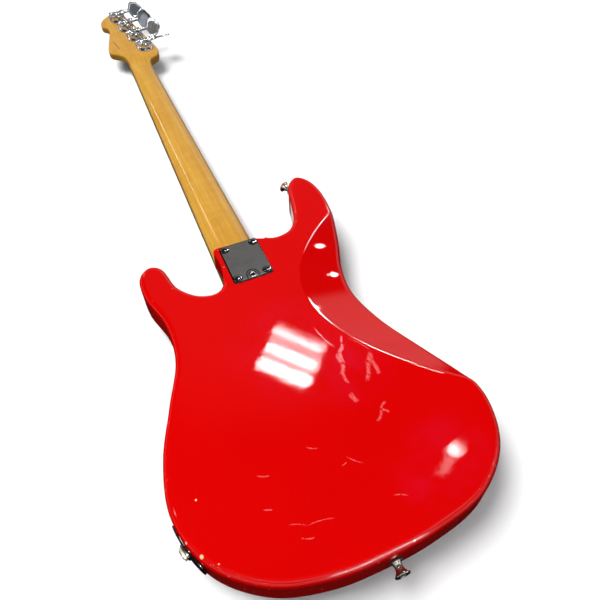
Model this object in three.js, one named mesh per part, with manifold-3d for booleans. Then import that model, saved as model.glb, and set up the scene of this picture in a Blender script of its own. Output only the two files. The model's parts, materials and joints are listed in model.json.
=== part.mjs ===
// Four-string solid-body electric bass with a bolt-on neck, lying face down with its back up.
// Units are millimetres. While it is modelled, x = 0 is the centre line (+x is the bass side),
// y = 0 is the nut (+y is towards the headstock tip), z = 0 is the body's face and +z is the back.
// At the end the whole instrument is moved so that the origin is the centre of its footprint.

import * as THREE from 'three';
import { mergeVertices } from 'three/addons/utils/BufferGeometryUtils.js';
import Module from 'manifold-3d';

const wasm = await Module();
wasm.setup();

// ---------------------------------------------------------------- driving dimensions
const GAP = 0.3;                 // clearance between touching pieces
const SCALE = 863.6;             // nut to saddle, 34 inches
const FRETS = 20;
const BODY_T = 44.5;             // body thickness
const BODY_EDGE = 8;             // round on the body's edges
const BELLY_R = 325;             // radius of the drum that hollows the belly contour
const BELLY_SLOPE = 0.306;       // fall of the hollow along the drum
const BELLY_LEAN = -0.165;       // turn of the drum's axis in plan
const BELLY_TIP = [47.4, -639];  // where the hollow's edge comes furthest in
const PLATE_Y = -571;            // centre of the neck plate
const BOLT_DX = 19.05;           // neck bolts, half spacing across
const BOLT_DY = 25.4;            // neck bolts, half spacing along
const POCKET_Z = 15.9;           // floor of the neck pocket
const HEEL_END_Y = -609;         // butt end of the neck
const NUT_W = 38.1;              // neck width at the nut
const HEEL_W = 62.5;             // neck width at its end
const GLUE_Z = -3.5;             // where the fingerboard meets the neck
const BOARD_Z = -9.5;            // playing surface
const HEAD_BACK_Z = 15.5;        // back of the headstock
const HEAD_FACE_Z = 2.4;         // front of the headstock
const ROD_Z = 2.2;               // axis of the truss rod
const REST_Z = -20.5;            // tips of the tuning posts and knobs
const GEAR_Z = 22.5;             // height of the worms' axes
const GEAR_R = 12;
const WORM_R = 4;
const WORM_DY = GEAR_R + WORM_R - 0.2;
const TUNERS = [[20.5, 40], [12.8, 82], [5.2, 124], [-2.5, 166]];
const KEY_TURN = [-27, 57, 75, 40];     // how each key stands, degrees about its shaft
const STRING_R = [1.3, 1.02, 0.82, 0.6];
const NUT_X = [15, 5, -5, -15];
const SADDLE_X = [28.5, 9.5, -9.5, -28.5];
const POST_R = 4.8;
const SADDLE_R = 4.8;
const SADDLE_Z = -10.4;
const WALL_Y = -890;             // back wall of the bridge
const SCREW_DX = 3.2;            // intonation screw beside its string
const PICKUP_Y = [-702, -732];
const PICKUP_X = [19, -19];
const POTS = [[-90, -838], [-113, -879]];
const GUARD_T = 2.3;
const HORN_ANGLE = 118;          // direction of the upper strap button in the back view
const JACK = { x: -168.9, y: -869, angle: 195.5, z: 22.5 };

// back-view outline of the body, from the heel round the bass side and back, y from PLATE_Y
const BODY_OUTLINE = [
  [-31, 36], [-4, 36], [22, 35], [50, 26.5], [70, 30.5], [84, 47], [94, 79], [100, 103],
  [108.5, 118], [120, 123.5], [133, 112], [140, 86], [137.5, 41], [126.5, -5], [112, -47],
  [108, -83], [118.5, -127], [145, -191], [160, -238], [165.5, -280], [147.5, -330],
  [105, -365], [49, -378], [0, -381], [-57, -378], [-112, -361], [-156, -322], [-173, -269],
  [-165, -213], [-143, -157], [-121, -103], [-118.5, -52], [-130.5, -2], [-128, 30],
  [-113, 41], [-100, 34], [-89, -5], [-68, -27.5], [-48, -31], [-37, -21], [-31, 8],
];

// back-view outline of the headstock, from the treble side of the nut to the bass side
const HEAD_OUTLINE = [
  [-19, -6], [-19.4, 8], [-22, 22], [-28, 33], [-37, 41], [-43.5, 48], [-45, 60], [-41, 80],
  [-35, 103], [-29, 130], [-30, 145], [-37, 154], [-38, 165], [-33, 180], [-22, 192],
  [-8, 199], [4, 196], [11, 186], [16, 170], [37, 60], [41, 35], [40.5, 21], [36, 12],
  [27, 8], [20.3, 3], [19, -6],
];

const GUARD_OUTLINE = [
  [34, 14], [55, 12], [74, 18], [90, 40], [103, 82], [118, 106], [129, 96], [131, 60],
  [124, 20], [108, -28], [88, -70], [62, -104], [44, -140], [34, -186], [0, -196], [-28, -206],
  [-44, -230], [-48, -264], [-60, -298], [-84, -326], [-112, -336], [-139, -316], [-158, -276],
  [-152, -216], [-131, -160], [-108, -104], [-105, -52], [-116, -2], [-113, 25],
  [-104, 20], [-97, -12], [-74, -37], [-48, -40], [-34, -36],
];

// ---------------------------------------------------------------- materials
function paint(color, roughness, metalness) {
  return new THREE.MeshStandardMaterial({ color, roughness, metalness });
}

const RED = paint(0xd60a08, 0.12, 0);
const MAPLE = paint(0xd69a4c, 0.25, 0);
const ROSEWOOD = paint(0x3a2217, 0.5, 0);
const CHROME = paint(0xc9cbcc, 0.1, 1);
const STEEL = paint(0x9a9ca0, 0.35, 1);
const NICKEL = paint(0xb7b4aa, 0.25, 1);
const BRASS = paint(0xb08d4a, 0.4, 1);
const BONE = paint(0xe8e0cc, 0.45, 0);
const WHITE = paint(0xe9e6dd, 0.3, 0);
const BLACK = paint(0x161616, 0.4, 0);

// ---------------------------------------------------------------- solid helpers
function solid(geometry) {
  const plain = geometry.index ? geometry.toNonIndexed() : geometry.clone();
  plain.deleteAttribute('normal');
  plain.deleteAttribute('uv');
  const merged = mergeVertices(plain, 1e-4);
  return new wasm.Manifold(new wasm.Mesh({
    numProp: 3,
    vertProperties: new Float32Array(merged.attributes.position.array),
    triVerts: new Uint32Array(merged.index.array),
  }));
}

function toGeometry(manifold) {
  const mesh = manifold.getMesh();
  const geometry = new THREE.BufferGeometry();
  geometry.setAttribute('position', new THREE.BufferAttribute(mesh.vertProperties, 3));
  geometry.setIndex(new THREE.BufferAttribute(mesh.triVerts, 1));
  geometry.computeVertexNormals();
  return geometry;
}

function joined(first, ...others) {
  return others.reduce((sum, other) => sum.add(solid(other)), solid(first));
}

function cut(base, cutters) {
  return cutters.reduce((rest, cutter) => rest.subtract(solid(cutter)), base);
}

function shapeOf(points) {
  return new THREE.Shape(points.map(([x, y]) => new THREE.Vector2(x, y)));
}

// a closed outline smoothed through its points
function smoothShape(points, count, tension = 0.5) {
  const ring = points.map(([x, y]) => new THREE.Vector3(x, y, 0));
  const curve = new THREE.CatmullRomCurve3(ring, true, 'centripetal', tension);
  const spaced = curve.getSpacedPoints(count).slice(0, count);
  return new THREE.Shape(spaced.map((p) => new THREE.Vector2(p.x, p.y)));
}

// a prism standing on z0..z1 with an optional round on both edges
function prism(shape, z0, z1, edge = 0, edgeSegments = 2, curveSegments = 10) {
  const geometry = new THREE.ExtrudeGeometry(shape, {
    depth: z1 - z0 - 2 * edge,
    bevelEnabled: edge > 0,
    bevelThickness: edge,
    bevelSize: edge,
    bevelOffset: -edge,
    bevelSegments: edgeSegments,
    curveSegments,
  });
  return geometry.translate(0, 0, z0 + edge);
}

function box(x0, x1, y0, y1, z0, z1) {
  const geometry = new THREE.BoxGeometry(x1 - x0, y1 - y0, z1 - z0);
  return geometry.translate((x0 + x1) / 2, (y0 + y1) / 2, (z0 + z1) / 2);
}

function roundedBox(width, length, corner) {
  const shape = new THREE.Shape();
  const x = width / 2;
  const y = length / 2;
  shape.moveTo(-x + corner, -y);
  shape.lineTo(x - corner, -y);
  shape.absarc(x - corner, -y + corner, corner, -Math.PI / 2, 0);
  shape.lineTo(x, y - corner);
  shape.absarc(x - corner, y - corner, corner, 0, Math.PI / 2);
  shape.lineTo(-x + corner, y);
  shape.absarc(-x + corner, y - corner, corner, Math.PI / 2, Math.PI);
  shape.lineTo(-x, -y + corner);
  shape.absarc(-x + corner, -y + corner, corner, Math.PI, Math.PI * 1.5);
  return shape;
}

// round bar along z, from z0 to z1
function bar(x, y, z0, z1, radius, sides = 16, topRadius = radius) {
  const geometry = new THREE.CylinderGeometry(topRadius, radius, z1 - z0, sides);
  return geometry.rotateX(Math.PI / 2).translate(x, y, (z0 + z1) / 2);
}

// round bar between two points
function rod(a, b, radius, sides = 8) {
  const from = new THREE.Vector3(...a);
  const to = new THREE.Vector3(...b);
  const along = to.clone().sub(from);
  const geometry = new THREE.CylinderGeometry(radius, radius, along.length(), sides);
  const turn = new THREE.Quaternion();
  turn.setFromUnitVectors(new THREE.Vector3(0, 1, 0), along.clone().normalize());
  geometry.applyQuaternion(turn);
  return geometry.translate(...from.add(to).multiplyScalar(0.5).toArray());
}

// turned piece about z: profile of [radius, height], closed on the axis or on itself
function turned(profile, sides = 20) {
  const points = profile.map(([r, h]) => new THREE.Vector2(r, h));
  return new THREE.LatheGeometry(points, sides).rotateX(Math.PI / 2);
}

// cross recess for a screw head, reaching down from z
function crossRecess(z, reach, depth) {
  const slot = box(-reach, reach, -0.6, 0.6, z - depth, z + 2);
  return [slot, slot.clone().rotateZ(Math.PI / 2)];
}

const bass = new THREE.Group();

function place(name, shape, material, parent = bass) {
  const geometry = shape.isBufferGeometry ? shape : toGeometry(shape);
  const mesh = new THREE.Mesh(geometry, material);
  mesh.name = name;
  parent.add(mesh);
  return mesh;
}

function frameAt(x, y, z, parent = bass) {
  const frame = new THREE.Group();
  frame.position.set(x, y, z);
  parent.add(frame);
  return frame;
}

const neckHalf = (y) => NUT_W / 2 + (HEEL_W - NUT_W) / 2 * (y / HEEL_END_Y);
const fretY = (n) => -SCALE * (1 - 2 ** (-n / 12));
const boltSpots = [[-1, 1], [1, 1], [1, -1], [-1, -1]]
  .map(([sx, sy]) => [sx * BOLT_DX, PLATE_Y + sy * BOLT_DY]);
const fromPlate = (points) => points.map(([x, y]) => [x, y + PLATE_Y]);
const jackOut = new THREE.Vector3(1, 0, 0)
  .applyAxisAngle(new THREE.Vector3(0, 0, 1), JACK.angle * Math.PI / 180);

// a point measured outwards from the jack plate's middle
function fromJack(out, side = 0) {
  const x = JACK.x + jackOut.x * out - jackOut.y * side;
  const y = JACK.y + jackOut.y * out + jackOut.x * side;
  return [x, y, JACK.z];
}

// ---------------------------------------------------------------- body
function makeBody() {
  const outline = smoothShape(fromPlate(BODY_OUTLINE), 116);
  const slab = solid(prism(outline, 0, BODY_T, BODY_EDGE, 2));

  const half = HEEL_W / 2 + GAP;
  const pocket = prism(shapeOf([
    [-half - 0.2, HEEL_END_Y - GAP], [half, HEEL_END_Y - GAP],
    [half - 0.9, PLATE_Y + 60], [-half - 3, PLATE_Y + 60], [-half - 3, PLATE_Y - 16],
  ]), -5, POCKET_Z);
  const bolts = boltSpots.map(([x, y]) => bar(x, y, 0, BODY_T + 5, 2.4 + GAP, 12));
  const tilt = bar(0, PLATE_Y - BOLT_DY, 0, BODY_T + 5, 5 + GAP, 16);

  // belly contour: the hollow of a large drum laid across the waist at a slope
  const fall = Math.atan(BELLY_SLOPE);
  const belly = new THREE.CylinderGeometry(BELLY_R, BELLY_R, 500, 180);
  belly.translate(0, 0, BELLY_R);
  belly.rotateZ(-Math.PI / 2);
  belly.rotateY(fall);
  belly.rotateZ(BELLY_LEAN);
  belly.translate(...BELLY_TIP, BODY_T);

  // forearm bevel on the face
  const arm = new THREE.BoxGeometry(160, 420, 60);
  arm.translate(80, 0, -30);
  arm.rotateY(-0.2);
  arm.rotateZ(-0.42);
  arm.translate(112, PLATE_Y - 290, 0);

  const coils = PICKUP_X.map((x, i) => box(x - 24.6, x + 24.6, PICKUP_Y[i] - 14.4,
    PICKUP_Y[i] + 14.4, -5, 20));
  const controls = prism(smoothShape([
    [-62, -826], [-88, -810], [-112, -826], [-136, -862], [-132, -886], [-112, -896],
    [-90, -884], [-68, -852],
  ], 24), -5, 33);
  const wireway = rod([-42, -736, 8], [-90, -838, 8], 4, 8);
  const jackBore = rod(fromJack(8), fromJack(-40), 11, 20);
  const endScrew = rod([3, -960, 22], [3, -925, 22], 2 + GAP, 10);
  const hornScrew = rod(hornPoint(6), hornPoint(-27), 2 + GAP, 10);
  return cut(slab, [pocket, ...bolts, tilt, belly, arm, ...coils, controls, wireway,
    jackBore, endScrew, hornScrew]);
}

// a point measured outwards from the upper horn's tip
function hornPoint(out) {
  const lean = HORN_ANGLE * Math.PI / 180;
  return [111.5 + Math.cos(lean) * out, PLATE_Y + 120.6 + Math.sin(lean) * out, 22];
}

// ---------------------------------------------------------------- neck
function makeNeck() {
  // half-round back, drawn once at unit size and then tapered along its length
  const shape = new THREE.Shape();
  shape.moveTo(-1, 0);
  shape.bezierCurveTo(-1.02, 0.55, -0.72, 1, 0, 1);
  shape.bezierCurveTo(0.72, 1, 1.02, 0.55, 1, 0);
  const shaft = new THREE.ExtrudeGeometry(shape, {
    depth: 1, steps: 5, bevelEnabled: false, curveSegments: 7,
  });
  const spots = shaft.attributes.position;
  for (let i = 0; i < spots.count; i += 1) {
    const y = -4 - spots.getZ(i) * 566;
    const deep = 11 + 3.6 * (y / -566) - GLUE_Z;
    spots.setXYZ(i, spots.getX(i) * neckHalf(y), y, GLUE_Z + spots.getY(i) * deep);
  }
  const heel = prism(shapeOf([
    [-neckHalf(-538), -538], [-HEEL_W / 2, HEEL_END_Y], [HEEL_W / 2, HEEL_END_Y],
    [neckHalf(-538), -538],
  ]), GLUE_Z, POCKET_Z - GAP);

  const head = prism(smoothShape(HEAD_OUTLINE, 52), HEAD_FACE_Z, HEAD_BACK_Z, 1.2, 1);
  const joint = box(-18.9, 18.9, -6, 24, GLUE_Z, HEAD_BACK_Z - 2);
  const faceSweep = rod([-60, 27, GLUE_Z - 17.6], [60, 27, GLUE_Z - 17.6], 22.1, 28);
  const backSweep = rod([-60, -6, 44.6], [60, -6, 44.6], 33.6, 40);
  const block = joined(head, joint).subtract(solid(backSweep)).subtract(solid(faceSweep));

  const rodWay = box(-3.2, 3.2, -598, 1, -8, ROD_Z + 3.2);
  const rodMouth = rod([0, -2, ROD_Z], [0, 21, ROD_Z], 4.6, 16);
  const bolts = boltSpots.map(([x, y]) => bar(x, y, 0.5, 30, 2.4 + GAP, 12));
  const posts = TUNERS.map(([x, y]) => bar(x, y, -5, 30, 7, 20));
  const treeHole = bar(TREE[0], TREE[1], -5, 9, 1.5 + GAP, 8);
  const nutSeat = box(-30, 30, -0.2, 3.6, GLUE_Z - 6, GLUE_Z + GAP);
  return cut(solid(shaft).add(solid(heel)).add(block),
    [rodWay, rodMouth, ...bolts, ...posts, treeHole, nutSeat]);
}

const TREE = [-5.8, 101];

function makeFingerboard() {
  const end = HEEL_END_Y;
  const board = prism(shapeOf([
    [-neckHalf(0), -0.5], [-neckHalf(end), end], [neckHalf(end), end], [neckHalf(0), -0.5],
  ]), BOARD_Z, GLUE_Z - GAP);
  const frets = [];
  for (let n = 1; n <= FRETS; n += 1) {
    const y = fretY(n);
    const half = neckHalf(y) - 0.4;
    frets.push(box(-half, half, y - 1.3, y + 1.3, BOARD_Z - 1.1, BOARD_Z + 1));
  }
  return joined(board, ...frets);
}

function makeNut() {
  const block = box(-NUT_W / 2, NUT_W / 2, 0, 3.3, BOARD_Z - 2.2, GLUE_Z);
  const slots = NUT_X.map((x, i) => {
    const wide = STRING_R[i] + GAP;
    return box(x - wide, x + wide, -1, 5, BOARD_Z - 5, nutZ(i) + wide);
  });
  return cut(solid(block), slots);
}

const nutZ = (i) => BOARD_Z - 1.2 - STRING_R[i];
const bridgeZ = (i) => SADDLE_Z - SADDLE_R - GAP - STRING_R[i];

// ---------------------------------------------------------------- strings
// a path sampled once at each of its points, so long straights cost no more than tight turns
class Route extends THREE.CatmullRomCurve3 {
  getUtoTmapping(u) {
    return u;
  }
}

function makeString(i) {
  const radius = STRING_R[i];
  const [postX, postY] = TUNERS[i];
  const wrap = (POST_R + radius + GAP / 2) / Math.cos(Math.PI / 8);
  const coils = 1.25;
  const pitch = 2 * radius + 0.3;
  const postZ = -3.8 - radius - coils * pitch;
  const past = [SADDLE_X[i], -SCALE - 6.6, bridgeZ(i)];
  const hole = [SADDLE_X[i] - 1, WALL_Y + 2.6, -5.6];
  const anchor = [SADDLE_X[i] - 1, WALL_Y - 2.2, -5.6];
  const nut = [NUT_X[i], 1.6, nutZ(i)];
  const stops = [anchor, hole, past, nut];
  if (i > 1) {
    stops.push([i === 2 ? -0.9 : -10.7, TREE[1], -4.6]);
  }
  for (let k = 0; k <= 10; k += 1) {
    const a = Math.PI - k * Math.PI / 4;
    stops.push([postX + wrap * Math.cos(a), postY + wrap * Math.sin(a), postZ + pitch * k / 8]);
  }
  const wire = new THREE.ExtrudeGeometry(new THREE.Shape().absarc(0, 0, radius, 0, Math.PI * 2), {
    steps: stops.length - 1,
    bevelEnabled: false,
    curveSegments: 3,
    extrudePath: new Route(stops.map((p) => new THREE.Vector3(...p))),
  });
  const ball = rod([anchor[0], anchor[1] + 1.4, anchor[2]],
    [anchor[0], anchor[1] - 3, anchor[2]], 2.4, 8);
  return joined(wire, ball);
}

// ---------------------------------------------------------------- body furniture
function makeGuard() {
  const plate = solid(prism(smoothShape(fromPlate(GUARD_OUTLINE), 72), -GUARD_T - GAP, -GAP));
  const half = HEEL_W / 2 + GAP + 0.2;
  const neckGap = box(-half, half, HEEL_END_Y - GAP - 0.2, -500, -9, 9);
  const coils = PICKUP_X.map((x, i) => box(x - 24.1, x + 24.1, PICKUP_Y[i] - 14.1,
    PICKUP_Y[i] + 14.1, -9, 9));
  const shafts = POTS.map(([x, y]) => bar(x, y, -9, 9, 4.8 + GAP));
  return cut(plate, [neckGap, ...coils, ...shafts]);
}

function makePlate() {
  const z0 = BODY_T + GAP;
  const plate = solid(prism(roundedBox(64, 51, 2.5), z0, z0 + 1.7, 0.4, 1, 2)
    .rotateZ(Math.PI / 2).translate(0, PLATE_Y, 0));
  const sinks = boltSpots.map(([x, y]) => bar(x, y, z0 - 1, z0 + 2.4, 2.4, 10, 6.1));
  return cut(plate, [...sinks, bar(0, PLATE_Y - BOLT_DY, 0, 80, 5.2, 20)]);
}

function makeBolt() {
  const z = BODY_T + GAP + 1.7;
  const screw = turned([
    [0, 1], [1.1, 1], [2.4, 4], [2.4, z - 1.9], [5.1, z], [4.6, z + 0.8], [2.6, z + 1.3],
    [0, z + 1.4],
  ], 10);
  return cut(solid(screw), crossRecess(z + 1.4, 2.6, 1.8));
}

function makeTiltScrew() {
  const top = BODY_T + GAP + 1.3;
  const screw = turned([
    [0, POCKET_Z + GAP], [5, POCKET_Z + GAP], [5, top - 0.3], [4.7, top], [0, top],
  ], 20);
  const socket = bar(0, 0, top - 4, top + 3, 1.9, 6);
  return cut(solid(screw), [socket]);
}

function makeBridgePlate() {
  const z = -GAP;
  const sheet = joined(
    box(-41, 41, WALL_Y, -838, z - 1.6, z),
    box(-41, 41, WALL_Y, WALL_Y + 1.8, z - 14.6, z),
    rod([-41, WALL_Y + 1.8, z - 1.6], [41, WALL_Y + 1.8, z - 1.6], 0.8, 8),
  );
  const holes = SADDLE_X.flatMap((x, i) => [
    rod([x + SCREW_DX, WALL_Y - 5, SADDLE_Z], [x + SCREW_DX, WALL_Y + 5, SADDLE_Z], 1.9, 12),
    rod([x - 1, WALL_Y - 5, -5.6], [x - 1, WALL_Y + 5, -5.6], STRING_R[i] + GAP, 10),
  ]);
  return cut(sheet, holes);
}

function makeSaddle() {
  const barrel = rod([-8.8, 0, SADDLE_Z], [8.8, 0, SADDLE_Z], SADDLE_R, 16);
  const legs = [-6.9, 6.9].map((x) => bar(x, 0, SADDLE_Z - 3.5, -GAP - 1.6 - GAP, 1.5, 6));
  const screwWay = rod([SCREW_DX, -9, SADDLE_Z], [SCREW_DX, 9, SADDLE_Z], 1.55 + 0.1, 12);
  return cut(joined(barrel, ...legs), [screwWay]);
}

function makeIntonationScrew() {
  const screw = joined(
    rod([0, WALL_Y - 0.6, 0], [0, WALL_Y + 36, 0], 1.5, 10),
    rod([0, WALL_Y - 2.4, 0], [0, WALL_Y - GAP, 0], 2.9, 14),
  );
  return cut(screw, [box(-2, 2, WALL_Y - 4, WALL_Y - 1.5, -0.45, 0.45)]);
}

function makeKnob() {
  const top = REST_Z;
  const foot = -GUARD_T - 4.4;
  const knob = turned([
    [0, top], [8.6, top], [9.3, top + 0.8], [9.5, foot - 1.2], [9.2, foot - 0.4], [8, foot],
    [3.3, foot], [3.3, top + 3.8], [0, top + 3.8],
  ], 20);
  const flutes = [];
  for (let k = 0; k < 10; k += 1) {
    const a = k * Math.PI / 5;
    flutes.push(bar(9.9 * Math.cos(a), 9.9 * Math.sin(a), top + 2, foot - 1.4, 0.7, 4));
  }
  return cut(solid(knob), flutes);
}

function makePot() {
  return joined(
    bar(0, 0, GAP + 1, 11, 11.6, 24),
    bar(0, 0, -GUARD_T - GAP - 2.6, 2, 4.8, 16),
    bar(0, 0, -GUARD_T - GAP - 2.4, -GUARD_T - 2 * GAP, 6.6, 6),
    box(-7, 7, 9, 17, 2, 3.2),
  ).subtract(solid(bar(0, 0, -20, 7.5, 3.2, 16)));
}

function makePickupCover() {
  const shell = solid(prism(roundedBox(47.6, 27.6, 4), -9.5, -GAP + 8, 0.8, 1, 2));
  return shell.subtract(solid(box(-21.8, 21.8, -11.8, 11.8, -8, 20)));
}

function makePickupCoil() {
  const coil = prism(roundedBox(41, 21, 9), -5, 12, 0, 1, 3);
  const magnets = [-14.4, -4.8, 4.8, 14.4].map((x) => bar(x, 0, -7.5, 13, 2.4, 8));
  return joined(coil, box(-21, 21, -11.2, 11.2, 12, 14), ...magnets);
}

function makeJackPlate() {
  const along = new THREE.Shape();
  const curve = 118;
  for (let k = -6; k <= 6; k += 1) {
    const a = k * 29 / 6 / curve;
    along[k === -6 ? 'moveTo' : 'lineTo'](curve * Math.cos(a) - curve + GAP, curve * Math.sin(a));
  }
  for (let k = 6; k >= -6; k -= 1) {
    const a = k * 29 / 6 / curve;
    along.lineTo((curve + 1.6) * Math.cos(a) - curve + GAP, (curve + 1.6) * Math.sin(a));
  }
  const strip = solid(prism(along, -13.5, 13.5));
  const corners = prism(roundedBox(27, 58, 8), -20, 20, 0, 1, 3)
    .rotateY(Math.PI / 2);
  return strip.intersect(solid(corners)).subtract(solid(rod([-9, 0, 0], [9, 0, 0], 5, 16)));
}

function makeJackSocket() {
  return joined(
    rod([5.6, 0, 0], [-9, 0, 0], 4.6, 20),
    rod([-2.4, 0, 0], [-4.2, 0, 0], 8.6, 20),
    box(-30, -4, -6.6, 6.6, 5.6, 6.8),
    box(-30, -28.8, -3.6, 3.6, -0.6, 6),
    box(-26, -4, -3.2, 3.2, -7.4, -6.4),
  ).subtract(solid(rod([9, 0, 0], [-20, 0, 0], 3.3, 16)));
}

const BUTTON = [
  [2.3, 0], [5.4, 0], [5, 1.4], [3.9, 4.5], [4.4, 8.5], [6.6, 11.4], [7.9, 12.6], [7.6, 13.8],
  [7.2, 14.2], [4.5, 14.2], [2.3, 11.7], [2.3, 0],
];

function makeStrapScrew() {
  const screw = turned([
    [0, -24], [0.6, -23.6], [2, -20], [2, 11.7], [3.5, 13.6], [2.8, 14.3], [0, 14.5],
  ], 12);
  return cut(solid(screw), crossRecess(14.5, 2.2, 1.6));
}

// ---------------------------------------------------------------- tuning machines
function makeTunerPlate() {
  const shape = new THREE.Shape();
  shape.moveTo(15, 0);
  shape.lineTo(15, 22);
  shape.absarc(13, 22, 2, 0, Math.PI / 2);
  shape.lineTo(-13, 24);
  shape.absarc(-13, 22, 2, Math.PI / 2, Math.PI);
  shape.lineTo(-15, 0);
  shape.absarc(0, 0, 15, Math.PI, Math.PI * 2);
  const z0 = HEAD_BACK_Z + GAP;
  const ears = [-12.6, 9.4].map((x) => box(x, x + 3.2, WORM_DY - 5.6, WORM_DY + 5.6, z0 + 1,
    GEAR_Z + 4.6));
  const plate = joined(prism(shape, z0, z0 + 1.6, 0, 1, 4), ...ears);
  const screws = [[-11.4, -4.6], [11.4, -4.6], [0, -13.2]].map(([x, y]) => (
    bar(x, y, z0 + 1, z0 + 2.6, 1.7, 6)));
  const ready = screws.reduce((sum, screw) => sum.add(solid(screw)), plate);
  return cut(ready, [
    bar(0, 0, 0, 40, POST_R + GAP, 12),
    rod([-30, WORM_DY, GEAR_Z], [30, WORM_DY, GEAR_Z], 2.6 + GAP, 10),
  ]);
}

function makeKey(turn) {
  const leaf = new THREE.Shape();
  leaf.moveTo(24, -2.4);
  leaf.bezierCurveTo(27, -3, 27, -16.5, 36, -16.5);
  leaf.bezierCurveTo(44, -16.5, 47, -12, 47.5, -8.5);
  leaf.bezierCurveTo(51, -7, 52.6, -3, 52.6, 0);
  leaf.bezierCurveTo(52.6, 3, 51, 7, 47.5, 8.5);
  leaf.bezierCurveTo(47, 12, 44, 16.5, 36, 16.5);
  leaf.bezierCurveTo(27, 16.5, 27, 3, 24, 2.4);
  const paddle = prism(leaf, -1.5, 1.5, 0.7, 1, 3);
  const body = joined(
    rod([-13.8, 0, 0], [25, 0, 0], 2.6, 10),
    rod([-8.9, 0, 0], [8.9, 0, 0], WORM_R - GAP, 12),
    rod([13.1, 0, 0], [17.5, 0, 0], 4.2, 12),
    rod([17, 0, 0], [27, 0, 0], 3.3, 10),
    paddle,
  );
  return body.rotate([turn, 0, 0]);
}

function makePost() {
  const points = [];
  const count = 20;
  for (let k = 0; k < count; k += 1) {
    [[0, GEAR_R - 1.6], [0.5, GEAR_R - 0.3]].forEach(([part, r]) => {
      const a = (k + part) * Math.PI * 2 / count;
      points.push([r * Math.cos(a), r * Math.sin(a)]);
    });
  }
  const gear = prism(shapeOf(points), GEAR_Z - 2.6, GEAR_Z + 2.6);
  const shaft = turned([
    [0, REST_Z], [POST_R + 0.2, REST_Z], [POST_R + 0.6, REST_Z + 0.7], [POST_R + 0.4, REST_Z + 9],
    [POST_R, REST_Z + 11], [POST_R, GEAR_Z - 2.6], [6, GEAR_Z + 2.6], [5.6, GEAR_Z + 3.6],
    [0, GEAR_Z + 3.6],
  ], 12);
  const post = joined(shaft, gear);
  return cut(post, [
    box(-1.4, 1.4, -9, 9, REST_Z - 2, REST_Z + 6),
    bar(0, 0, REST_Z - 2, REST_Z + 10, 1.6, 8),
    box(-4, 4, -0.6, 0.6, GEAR_Z + 2.4, GEAR_Z + 6),
  ]);
}

function makeFerrule() {
  return turned([
    [POST_R + GAP, -3.2], [8.6, -3.2], [9.4, -2.4], [9.4, HEAD_FACE_Z - GAP],
    [7 - GAP, HEAD_FACE_Z - GAP], [7 - GAP, 13.6], [POST_R + GAP, 13.6], [POST_R + GAP, -3.2],
  ], 12);
}

// ---------------------------------------------------------------- assembly
place('body', makeBody(), RED);
place('neck', makeNeck(), MAPLE);
place('fingerboard', makeFingerboard(), ROSEWOOD);
place('nut', makeNut(), BONE);
place('truss_rod', rod([0, -594, ROD_Z], [0, 5, ROD_Z], 2.6, 10), STEEL);
place('truss_rod_nut', cut(solid(rod([0, 5 + GAP, ROD_Z], [0, 15, ROD_Z], 4, 16)),
  [rod([0, 9, ROD_Z], [0, 18, ROD_Z], 2.4, 6)]), STEEL);
place('pickguard', makeGuard(), WHITE);
place('neck_plate', makePlate(), CHROME);
boltSpots.forEach(([x, y], i) => {
  place(`neck_bolt_${i + 1}`, makeBolt(), CHROME, frameAt(x, y, 0));
});
place('micro_tilt_screw', makeTiltScrew(), STEEL, frameAt(0, PLATE_Y - BOLT_DY, 0));

place('bridge_plate', makeBridgePlate(), CHROME);
SADDLE_X.forEach((x, i) => {
  place(`saddle_${i + 1}`, makeSaddle(), STEEL, frameAt(x, -SCALE, 0));
  place(`intonation_screw_${i + 1}`, makeIntonationScrew(), STEEL,
    frameAt(x + SCREW_DX, 0, SADDLE_Z));
  place(`string_${i + 1}`, makeString(i), NICKEL);
});

TUNERS.forEach(([x, y], i) => {
  const frame = frameAt(x, y, 0);
  place(`tuner_plate_${i + 1}`, makeTunerPlate(), CHROME, frame);
  place(`tuner_key_${i + 1}`, makeKey(KEY_TURN[i]), CHROME, frameAt(0, WORM_DY, GEAR_Z, frame));
  place(`tuner_post_${i + 1}`, makePost(), CHROME, frame);
  place(`tuner_ferrule_${i + 1}`, makeFerrule(), CHROME, frame);
});
place('string_tree', turned([
  [0, -8.6], [5.6, -8.6], [7.6, -7.4], [7.6, -6.4], [2.2, -6.4], [2.2, HEAD_FACE_Z - GAP],
  [1.5, HEAD_FACE_Z - GAP], [1.5, 7], [0, 8.4],
], 16), CHROME, frameAt(TREE[0], TREE[1], 0));

['bass', 'treble'].forEach((side, i) => {
  const frame = frameAt(PICKUP_X[i], PICKUP_Y[i], 0);
  place(`pickup_cover_${side}`, makePickupCover(), BLACK, frame);
  place(`pickup_coil_${side}`, makePickupCoil(), BRASS, frame);
});
['volume', 'tone'].forEach((use, i) => {
  const frame = frameAt(POTS[i][0], POTS[i][1], 0);
  place(`${use}_pot`, makePot(), STEEL, frame);
  place(`${use}_shaft`, bar(0, 0, REST_Z + 4.2, 7, 2.9, 14), BRASS, frame);
  place(`${use}_knob`, makeKnob(), CHROME, frame);
});

const jack = frameAt(JACK.x, JACK.y, JACK.z);
jack.rotation.z = JACK.angle * Math.PI / 180;
place('jack_plate', makeJackPlate(), CHROME, jack);
place('jack_socket', makeJackSocket(), STEEL, jack);
place('jack_nut', cut(solid(rod([2.3, 0, 0], [4.9, 0, 0], 7, 6)),
  [rod([0, 0, 0], [9, 0, 0], 4.6 + GAP, 16)]), BRASS, jack);

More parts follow.
